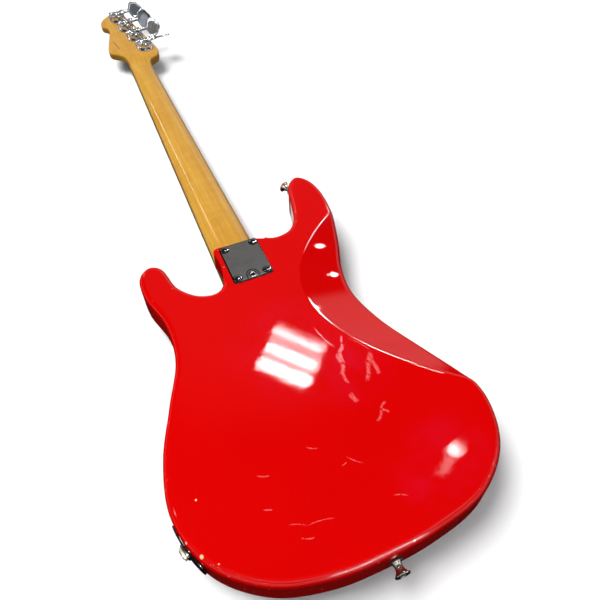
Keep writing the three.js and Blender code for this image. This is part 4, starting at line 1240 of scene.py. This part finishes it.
# ---------------------------------------------------------------- bridge and strings
SCALE = 863.6
SADDLE_X = [28.5, 9.5, -9.5, -28.5]
SADDLE_Z = -10.4
SADDLE_R = 4.8
WALL_Y = -890.0
STRING_R = [1.3, 1.02, 0.82, 0.6]
NUT_X = [15, 5, -5, -15]
BOARD_Z = -9.5
SCREW_DX = 3.2


def make_bridge():
    z = -0.3
    profile = rounded([(-838, z), (WALL_Y, z), (WALL_Y, z - 14.6), (WALL_Y + 1.8, z - 14.6),
                       (WALL_Y + 1.8, z - 1.6), (-838, z - 1.6)], [0.3, 2.2, 0.7, 0.7, 1.0, 0.7], 6)
    bm = bmesh.new()
    sheet_metal(bm, profile, -41, 41, 0.4, ALONG_X, 3)
    holes = []
    for i, x in enumerate(SADDLE_X):
        holes.append(lambda b, x=x: pin(b, (x + SCREW_DX, WALL_Y - 5, SADDLE_Z),
                                        (x + SCREW_DX, WALL_Y + 5, SADDLE_Z), 1.9, 24))
        holes.append(lambda b, x=x, i=i: pin(b, (x - 1, WALL_Y - 5, -5.6), (x - 1, WALL_Y + 5, -5.6),
                                             STRING_R[i] + 0.3, 24))
        # shallow track under each saddle's legs
        for side in (-6.9, 6.9):
            holes.append(lambda b, x=x + side: block(b, x - 0.9, x + 0.9, -880, -844,
                                                     z - 2.4, z - 1.35))
    bm = carve(bm, holes)
    finish_piece("bridge_shape", bm, CHROME, replaces=["bridge_plate"], sharp=30)
    small = turned_screw([(0, -2), (1.6, -2), (1.6, 0), (3.3, 0.02), (3.4, 0.4), (3.0, 1.1),
                          (2.0, 1.7), (0.9, 1.92), (0, 1.95)], 2.0, 0.42, 1.3, 28)
    for k, x in enumerate((-35, -19, 0, 19, 35)):
        bm = stamp(small, at(x, -842.6, z - 1.55, (180, "X"), (31 * k, "Z")))
        finish_piece(f"bridge_screw_{k + 1}", bm, SCREW, sharp=30)
    for k, x in enumerate(SADDLE_X):
        make_saddle(k + 1, x)


def make_saddle(number, x):
    along = at(x, -SCALE, SADDLE_Z, (90, "Y"))
    profile = [(0, -8.8), (4.0, -8.8), (4.5, -8.3)]
    for k in range(14):
        s = -7.7 + k * 1.14
        profile += [(4.8, s), (4.8, s + 0.3), (4.42, s + 0.6), (4.42, s + 0.75)]
    profile = [p for p in profile if p[1] < 8.2] + [(4.5, 8.3), (4.0, 8.8), (0, 8.8)]
    barrel = turned(profile, along, 40)
    barrel = carve(barrel, [lambda b: pin(b, (x + SCREW_DX, -SCALE - 9, SADDLE_Z),
                                          (x + SCREW_DX, -SCALE + 9, SADDLE_Z), 1.65, 24)])
    for side in (-6.9, 6.9):
        leg = turned([(0, -2.2), (1.1, -2.2), (1.5, -2.7), (1.5, SADDLE_Z - 3.8), (1.3, SADDLE_Z - 4.1),
                      (0, SADDLE_Z - 4.1)], at(x + side, -SCALE, 0), 24)
        barrel = merged(barrel, leg)
    finish_piece(f"saddle_shape_{number}", barrel, SATIN, body=f"saddle_{number}",
                 replaces=[f"saddle_{number}"], sharp=30)

    profile = [(0, -36), (1.0, -36), (1.45, -35.4)]
    for k in range(46):
        s = -35.2 + k * 0.72
        profile += [(1.5, s), (1.5, s + 0.12), (1.22, s + 0.4), (1.22, s + 0.52)]
    profile += [(1.5, -1.4), (1.5, 0.3), (2.7, 0.3), (2.9, 0.5), (2.9, 1.7), (2.6, 2.25), (1.6, 2.4),
                (0, 2.4)]
    screw = turned(profile, at(x + SCREW_DX, WALL_Y, SADDLE_Z, (90, "X")), 24)
    screw = carve(screw, [lambda b: block(b, x + SCREW_DX - 4, x + SCREW_DX + 4, WALL_Y - 4,
                                          WALL_Y - 1.5, SADDLE_Z - 0.45, SADDLE_Z + 0.45)])
    finish_piece(f"intonation_shape_{number}", screw, STEEL, body=f"intonation_{number}",
                 replaces=[f"intonation_screw_{number}"], sharp=30)

    start, end = WALL_Y + 2.2, -SCALE - SADDLE_R - 0.3
    spring = bmesh.new()
    tube(spring, coil(1.95, (end - start) / 9, 9), 0.26, 6,
         at(x + SCREW_DX, start, SADDLE_Z, (-90, "X")))
    piece = finish_piece(f"saddle_spring_{number}", spring, STEEL, body=None, sharp=60)
    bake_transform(piece)


def make_strings():
    for i, radius in enumerate(STRING_R):
        post_x, post_y = TUNERS[i]
        wrap = POST_R + radius + 0.15
        pitch = 2 * radius + 0.3
        post_z = -3.8 - radius - 1.25 * pitch
        nut_z = BOARD_Z - 1.2 - radius
        x = SADDLE_X[i]
        stops = [(x - 1, WALL_Y - 2.2, -5.6), (x - 1, WALL_Y + 2.6, -5.6),
                 (x, -SCALE - 6.6, SADDLE_Z - SADDLE_R - 0.3 - radius), (NUT_X[i], 1.6, nut_z)]
        if i > 1:
            stops.append((-0.9 if i == 2 else -10.7, 101, -4.6))
        stops.append((post_x - wrap, post_y - 1.0, post_z))
        path = curved(stops, 2.5)
        path += [(post_x + wrap * math.cos(math.pi - k * math.pi / 18),
                  post_y + wrap * math.sin(math.pi - k * math.pi / 18), post_z + pitch * k / 36)
                 for k in range(46)]
        bm = bmesh.new()
        tube(bm, path, radius, 14)
        lathe(bm, rounded([(0, -3.0), (2.4, -3.0), (2.4, 1.4), (0, 1.4)], [0, 0.9, 0.6, 0], 4,
                          closed=False),
              at(x - 1, WALL_Y - 2.2, -5.6, (-90, "X")), 24)
        finish_piece(f"string_shape_{i + 1}", bm, STRING, replaces=[f"string_{i + 1}"],
                     sharp=50)


# ---------------------------------------------------------------- fingerboard
def fret_y(n):
    return -SCALE * (1 - 2 ** (-n / 12))


def crown(x):
    return BOARD_Z + x * x / 600


def make_fingerboard():
    shell = Shell()
    rows = []
    for y in np.linspace(-0.5, HEEL_END_Y, 42):
        half = neck_half(y)
        ring = [(-half, y, GLUE_Z - 0.3), (-half, y, crown(half) + 1.2)]
        for x in np.linspace(-half + 0.25, half - 0.25, 17):
            soft_edge = 0.5 * max(0.0, (abs(x) - half + 1.2) / 1.0) ** 2
            ring.append((x, y, crown(x) + soft_edge))
        ring += [(half, y, crown(half) + 1.2), (half, y, GLUE_Z - 0.3)]
        rows.append(shell.add(ring))
    shell.close(rows)
    finish_piece("fingerboard_shape", shell_bmesh(shell), ROSEWOOD, replaces=["fingerboard"],
                 sharp=45)
    for n in range(1, 21):
        y, half = fret_y(n), neck_half(fret_y(n)) - 0.5
        shell, rows = Shell(), []
        for x in np.linspace(-half, half, 19):
            end = 1 - smoothstep(half - 1.4, half + 0.3, abs(x)) * 0.75
            ring = [(x, y + 1.25 * math.cos(t), crown(x) + 0.2 - (0.2 + 0.95 * end) * math.sin(t))
                    for t in np.linspace(0, math.pi, 9)]
            rows.append(shell.add(ring))
        shell.close(rows)
        finish_piece(f"fret_{n}", shell_bmesh(shell), FRET, sharp=50)
    dots = [(3, 0), (5, 0), (7, 0), (9, 0), (12, -11), (12, 11), (15, 0), (17, 0), (19, 0)]
    for k, (n, x) in enumerate(dots):
        y = (fret_y(n) + fret_y(n - 1)) / 2
        bm = turned([(0, -0.08), (2.6, -0.06), (3.1, 0.05), (3.15, 0.5), (0, 0.5)],
                at(x, y, crown(x)), 32)
        finish_piece(f"position_dot_{k + 1}", bm, PEARL, sharp=40)


def make_nut():
    bm = bmesh.new()
    profile = rounded([(0, GLUE_Z), (3.3, GLUE_Z), (3.3, BOARD_Z - 1.5), (2.4, BOARD_Z - 2.2),
                       (0, BOARD_Z - 2.2)], [0, 0, 0.5, 0.6, 0.2], 3)
    sheet_metal(bm, profile, -NUT_W / 2, NUT_W / 2, 0.5, ALONG_X, 3)
    slots = []
    for x, radius in zip(NUT_X, STRING_R):
        z = BOARD_Z - 1.2 - radius
        wide = radius + 0.3
        slots.append(lambda b, x=x, z=z, wide=wide: pin(b, (x, -1, z), (x, 5, z), wide, 24))
        slots.append(lambda b, x=x, z=z, wide=wide: block(b, x - wide, x + wide, -1, 5, z - 6, z))
    bm = carve(bm, slots)
    finish_piece("nut_shape", bm, BONE, replaces=["nut"], sharp=35)


# ---------------------------------------------------------------- pickguard, pickups, controls
GUARD_OUTLINE = [
    (34, 14), (55, 12), (74, 18), (90, 40), (103, 82), (118, 106), (129, 96), (131, 60),
    (124, 20), (108, -28), (88, -70), (62, -104), (44, -140), (34, -186), (0, -196), (-28, -206),
    (-44, -230), (-48, -264), (-60, -298), (-84, -326), (-112, -336), (-139, -316), (-158, -276),
    (-152, -216), (-131, -160), (-108, -104), (-105, -52), (-116, -2), (-113, 25),
    (-104, 20), (-97, -12), (-74, -37), (-48, -40), (-34, -36),
]
PICKUPS = {"bass": (19, -702), "treble": (-19, -732)}
POTS = {"volume": (-90, -838), "tone": (-113, -879)}


def make_guard():
    loop = anticlockwise(closed_curve([(x, y + PLATE_Y) for x, y in GUARD_OUTLINE], 420))
    loop = relaxed(loop, 3)
    normal = outward(loop)
    half = HEEL_W / 2 + 0.5
    cuts = [lambda b: block(b, -half, half, HEEL_END_Y - 0.5, -500, -9, 9)]
    for x, y in PICKUPS.values():
        hole = rounded_box(24.1, 14.1, 4, 5)
        cuts.append(lambda b, h=[(u + x, v + y) for u, v in hole]: slab(b, h, -9, 9))
    for x, y in POTS.values():
        cuts.append(lambda b, x=x, y=y: pin(b, (x, y, -9), (x, y, 9), 5.1, 32))
    for name, top, low, inset, look in (("guard_face", -2.6, -1.75, 0.9, GUARD),
                                        ("guard_core", -1.75, -1.25, 0.5, BLACK),
                                        ("guard_base", -1.25, -0.3, 0.0, GUARD)):
        bm = bmesh.new()
        rings = []
        for z, away in ((low, inset), (top, inset + (0.75 if name != "guard_base" else 0.45))):
            rings.append([bm.verts.new((*p, z)) for p in loop - normal * away])
        skin(bm, rings)
        finish_piece(name, carve(bm, cuts), look, replaces=["pickguard"],
                     sharp=30)
    small = turned_screw([(0, -1), (1.4, -1), (1.5, -0.3), (2.7, 0.0), (2.75, 0.3), (2.3, 0.8),
                          (1.4, 1.1), (0, 1.22)], 1.5, 0.34, 0.9, 24)
    run = np.linalg.norm(np.roll(loop, -1, 0) - loop, axis=1).cumsum()
    number = 0
    for part in np.linspace(0.035, 0.965, 15):
        i = int(np.searchsorted(run, part * run[-1])) % len(loop)
        x, y = loop[i] - normal[i] * 5.5
        near_heel = abs(x) < half + 4 and y > HEEL_END_Y - 4
        near_pickup = any(abs(x - px) < 30 and abs(y - py) < 19 for px, py in PICKUPS.values())
        if near_heel or near_pickup or (-46 < x < 46 and y < -834):
            continue
        number += 1
        bm = stamp(small, at(x, y, -2.6, (180, "X"), (37 * number, "Z")))
        finish_piece(f"guard_screw_{number}", bm, SCREW, sharp=30)


def make_pickups():
    for side, (x, y) in PICKUPS.items():
        bm = bmesh.new()
        outline = rounded_box(23.8, 13.8, 4, 7)
        sheet_metal(bm, [(u + x, v + y) for u, v in outline], -9.5, 7.7, 0.3, steps=4, low_edge=1.4)
        bm = carve(bm, [lambda b: block(b, x - 21.8, x + 21.8, y - 11.8, y + 11.8, -8, 20)])
        finish_piece(f"pickup_shape_{side}", bm, BLACK, replaces=[f"pickup_cover_{side}"],
                     sharp=32)
        for k, dx in enumerate((-14.4, -4.8, 4.8, 14.4)):
            bm = turned([(0, -9.95), (2.0, -9.95), (2.4, -9.75), (2.4, -9.0), (0, -9.0)],
                    at(x + dx, y, 0), 28)
            finish_piece(f"pole_{side}_{k + 1}", bm, STEEL, sharp=32)


def make_knobs():
    foot = -6.7
    sides = 144
    for use, (x, y) in POTS.items():
        profile = [(0, REST_Z + 0.25), (6.6, REST_Z + 0.25), (7.2, REST_Z + 0.02), (7.9, REST_Z),
                   (8.6, REST_Z + 0.3), (9.0, REST_Z + 0.9), (9.05, REST_Z + 1.8), (9.2, REST_Z + 2.1),
                   (9.45, REST_Z + 2.5), (9.5, foot - 2.6), (9.25, foot - 2.1), (9.0, foot - 1.9),
                   (9.1, foot - 1.0), (8.9, foot - 0.3), (8.3, foot), (3.3, foot), (3.3, REST_Z + 3.8),
                   (0, REST_Z + 3.8)]
        bm = turned(profile, sides=sides)
        # every third corner of the rim goes in, for the knurling
        for v in bm.verts:
            k = round(math.atan2(v.co.y, v.co.x) / (2 * math.pi / sides))
            if math.hypot(v.co.x, v.co.y) > 9.4 and k % 3 == 0:
                v.co.x *= 0.965
                v.co.y *= 0.965
        move(bm, at(x, y, 0))
        finish_piece(f"{use}_knob_shape", bm, CHROME, body=use, replaces=[f"{use}_knob"],
                     sharp=28)


RED = red_lacquer()
MAPLE = maple()
CHROME = metal("chrome", (0.80, 0.80, 0.80), 0.04, wear=0.08)
PLATE = metal("plate_chrome", (0.86, 0.86, 0.84), 0.07, wear=0.05)
STEEL = metal("steel", (0.56, 0.56, 0.57), 0.26, wear=0.16, bump=0.00006)
NICKEL = metal("nickel", (0.74, 0.71, 0.64), 0.10, wear=0.12)
BRASS = metal("brass", (0.70, 0.52, 0.25), 0.25, wear=0.15)
GUARD = plastic("guard", (0.80, 0.77, 0.68), (0.74, 0.70, 0.60), 0.22, coat=0.6)
BLACK = plastic("black_plastic", (0.020, 0.020, 0.021), (0.030, 0.030, 0.030), 0.30)
BONE = plastic("bone", (0.80, 0.74, 0.60), (0.72, 0.64, 0.48), 0.34)
BOLT = metal("bolt_chrome", (0.26, 0.26, 0.255), 0.05, wear=0.05, scale=700.0)
# a near-black copy of the plating for bevels, recesses and rims: painted shade
PLATE_SHADE = metal("plate_painted_shade", (0.055, 0.055, 0.058), 0.10, wear=0.08, scale=500.0)
DISC = metal("disc_steel", (0.42, 0.42, 0.41), 0.12, wear=0.10, scale=500.0)
SOCKET = metal("socket_plate", (0.22, 0.22, 0.22), 0.09, wear=0.12, scale=500.0)
SCREW = metal("screw_chrome", (0.72, 0.72, 0.71), 0.10, wear=0.16, scale=900.0)
KEY = metal("key_chrome", (0.60, 0.62, 0.65), 0.07, wear=0.12, bump=0.00001)
BUTTON = metal("button_nickel", (0.82, 0.77, 0.66), 0.16, wear=0.12, scale=500.0)
SATIN = metal("satin_steel", (0.66, 0.66, 0.64), 0.12, wear=0.10, bump=0.00004)
GOLD = metal("gold_nut", (0.86, 0.78, 0.58), 0.34, wear=0.14, scale=500.0, metallic=0.35)
FRET = metal("fret_wire", (0.66, 0.65, 0.62), 0.16, wear=0.14, scale=600.0)
PEARL = plastic("pearl_dot", (0.80, 0.79, 0.74), (0.66, 0.66, 0.62), 0.25, coat=0.5, scale=420.0)
FELT = plastic("felt", (0.035, 0.032, 0.030), (0.06, 0.055, 0.05), 0.85, scale=900.0, bump=0.0003)
COIL = plastic("coil", (0.10, 0.045, 0.02), (0.06, 0.03, 0.015), 0.45)
ROSEWOOD = rosewood()
STRING = wound_string()

make_body(RED)
make_neck(MAPLE)
make_neck_plate()
make_bolts()
make_headstock_hardware()
make_strap_buttons()
make_jack()
make_bridge()
make_strings()
make_fingerboard()
make_nut()
make_guard()
make_pickups()
make_knobs()

SLOT_LOOK = {
    "chrome": CHROME, "steel": STEEL, "nickel": NICKEL, "brass": BRASS, "bone": BONE,
    "guard_white": GUARD, "black_plastic": BLACK, "coil": COIL, "rosewood": ROSEWOOD,
    "nickel_string": STRING, "red_lacquer": RED, "maple": MAPLE,
}
for part in frame["record"]["subparts"]:
    node = frame["nodes"][part["node"]]
    for one in node.material_slots:
        one.material = SLOT_LOOK[part["material_slot"]]

# ---------------------------------------------------------------- floor and light
FLOOR_HALF_M = 60
LAMP_DISTANCE = 2.2
bm = bmesh.new()
bmesh.ops.create_grid(bm, x_segments=8, y_segments=8, size=FLOOR_HALF_M)
ground = mesh_of(bm, "floor")
ground.materials.append(floor_look())
floor = link("floor", ground)
# the floor stays white to the eye without washing out the walls and the plating above it
floor.visible_glossy = False
floor.visible_diffuse = False


def sun(name, direction, strength, angle):
    data = bpy.data.lights.new(name, "SUN")
    data.energy = strength
    data.angle = math.radians(angle)
    made = link(name, data)
    made.rotation_euler = Vector(direction).to_track_quat("Z", "Y").to_euler()
    made.visible_glossy = False


def area_lamp(name, place, size, bright):
    """A lamp of one brightness all over, which only shows as a reflection."""
    data = bpy.data.lights.new(name, "AREA")
    data.shape = "RECTANGLE"
    data.size, data.size_y = size
    data.energy = bright * math.pi * size[0] * size[1]
    made = link(name, data)
    made.matrix_world = place
    made.visible_diffuse = False


def mirrored(x, y):
    """Where the camera's view goes after the polished back turns it, from a point on the back."""
    point = row(x, y, BODY_T)
    view = (point - camera.matrix_world.translation).normalized()
    return point, Vector((view.x, view.y, -view.z))


def reflected_panel(name, start, end, side, bright, low=0.0, high=1.0, distance=LAMP_DISTANCE):
    """A flat lamp that shows in the back as a patch with these three corners, in millimetres.

    low and high take a band of it, counted from start towards side.
    """
    middle, aim = mirrored((end[0] + side[0]) / 2, (end[1] + side[1]) / 2)
    spots = []
    for corner in (start, end, side):
        point, ray = mirrored(*corner)
        spots.append(point + ray * ((middle + aim * distance - point).dot(aim) / ray.dot(aim)))
    across, down = spots[1] - spots[0], spots[2] - spots[0]
    down = down - across * (down.dot(across) / across.length_squared)
    size = across.length, down.length * (high - low)
    centre = spots[0] + across / 2 + down * ((low + high) / 2)
    across, down = across.normalized(), down.normalized()
    if across.cross(down).dot(aim) < 0:
        down = -down
    turn = Matrix((across, down, across.cross(down))).transposed()
    area_lamp(name, Matrix.Translation(centre) @ turn.to_4x4(), size, bright)


def far_panel(name, direction, size, bright, spot=(0, -721), distance=LAMP_DISTANCE):
    """A lamp seen from a spot on the instrument in one direction."""
    away = Vector(direction).normalized() * distance
    turn = away.to_track_quat("Z", "Y").to_matrix().to_4x4()
    area_lamp(name, Matrix.Translation(row(*spot, BODY_T) + away) @ turn, size, bright)


sun("key", (-0.51, 0.45, 1.25), 3.35, 38)
sun("overhead", (-0.32, -0.02, 1.0), 0.25, 30)

window = ((-0.5, -676), (39, -726), (-41, -724))
reflected_panel("window", *window, 9)
for k, (low, high, bright) in enumerate(((0.10, 0.22, 22), (0.42, 0.62, 30), (0.76, 1.0, 40))):
    reflected_panel(f"window_band_{k}", *window, bright, low, high, distance=2.19)
reflected_panel("lamp", (94, -886), (103, -882), (99, -897), 34)
reflected_panel("lamp_glow", (74, -902), (108, -880), (78, -909), 4.0, distance=2.25)
far_panel("crease_lamp", (0.585, 0.655, 0.48), (0.12, 0.24), 85, spot=(100, -770))
far_panel("rim_lamp", (0.16, -0.75, 0.64), (1.1, 0.05), 170, spot=(-20, -950))
far_panel("dash_lamp", (0.49, 0.395, 0.775), (0.12, 0.12), 90, spot=(111, -552))
far_panel("horn_lamp", (0.673, 0.279, 0.685), (0.035, 0.022), 150, spot=(97, -582))
far_panel("waist_lamp", (0.690, 0.436, 0.577), (0.035, 0.022), 150, spot=(97, -627))
far_panel("neck_strip", (-0.27, 0.79, 0.55), (0.07, 0.9), 7, spot=(0, -300))
far_panel("glint", (-0.80, 0.45, 1.25), (0.10, 0.10), 26)
far_panel("glint_left", (-0.75, -0.35, 0.75), (0.08, 0.08), 30)
far_panel("glint_right", (0.85, -0.30, 0.60), (0.08, 0.08), 30)

world = bpy.data.worlds.new("room")
bpy.context.scene.world = world
world.use_nodes = True
nodes, links = world.node_tree.nodes, world.node_tree.links
backdrop = nodes["Background"]
place = nodes.new("ShaderNodeTexCoord")


def world_mix(factor, a, b):
    made = nodes.new("ShaderNodeMix")
    made.data_type = "RGBA"
    for value, at in ((factor, 0), (a, 6), (b, 7)):
        if isinstance(value, bpy.types.NodeSocket):
            links.new(value, made.inputs[at])
        else:
            made.inputs[at].default_value = value
    return made.outputs[2]


def towards(direction, low, high):
    """0 to 1 as the view turns towards a direction."""
    dot = nodes.new("ShaderNodeVectorMath")
    dot.operation = "DOT_PRODUCT"
    links.new(place.outputs["Generated"], dot.inputs[0])
    dot.inputs[1].default_value = direction
    held = nodes.new("ShaderNodeMapRange")
    held.interpolation_type = "SMOOTHSTEP"
    links.new(dot.outputs["Value"], held.inputs[0])
    held.inputs[1].default_value, held.inputs[2].default_value = low, high
    return held.outputs[0]


def world_product(a, b):
    both = nodes.new("ShaderNodeMath")
    both.operation = "MULTIPLY"
    links.new(a, both.inputs[0])
    links.new(b, both.inputs[1])
    return both.outputs[0]


def grey(value, blue=1.0):
    return (value, value * (1 + blue) / 2, value * blue, 1)


# a dark ceiling with a few paler places, a bright low wall to one side and a pale horizon
sky = world_mix(towards((0, -1, 0), -0.22, 0.02), grey(0.03), grey(0.13, 1.25))
for direction, low, high, tone in (((0.14, -0.76, 0.64), 0.90, 0.97, grey(0.18, 0.82)),
                                   ((0.172, 0.657, 0.734), 0.95, 0.99, grey(0.13, 0.97)),
                                   ((0.12, 0.90, 0.42), 0.93, 0.985, grey(0.30, 0.95))):
    sky = world_mix(towards(direction, low, high), sky, tone)
# bright bands behind the camera, for the plating to pick up
behind = towards((0.2, -1, 0), 0.10, 0.30)
for low, high, bright in ((0.50, 0.535, 3.6), (0.27, 0.36, 0.9), (0.84, 0.92, 1.2)):
    above_low = towards((0, 0, 1), low - 0.01, low)
    band = world_product(above_low, towards((0, 0, -1), -high - 0.01, -high))
    sky = world_mix(world_product(band, behind), sky, grey(bright))
low_sky = towards((0, 0, -1), -0.52, -0.46)
side_sky = towards((0.79, 0.61, 0), 0.72, 0.84)
sky = world_mix(world_product(low_sky, side_sky), sky, grey(0.72))
sky = world_mix(towards((0, 0, -1), -0.24, -0.14), sky, grey(0.60))
sky = world_mix(towards((0, 0, -1), -0.02, 0.04), sky, grey(0.006))
sky = world_mix(towards((0.14, -0.985, 0.09), 0.95, 0.985), sky, grey(0.50, 1.1))
under = world_product(towards((0.14, 0.70, -0.70), 0.80, 0.92), towards((1, 0, 0), 0.03, 0.10))
sky = world_mix(under, sky, grey(0.85))
links.new(sky, backdrop.inputs[0])
backdrop.inputs[1].default_value = 1.0
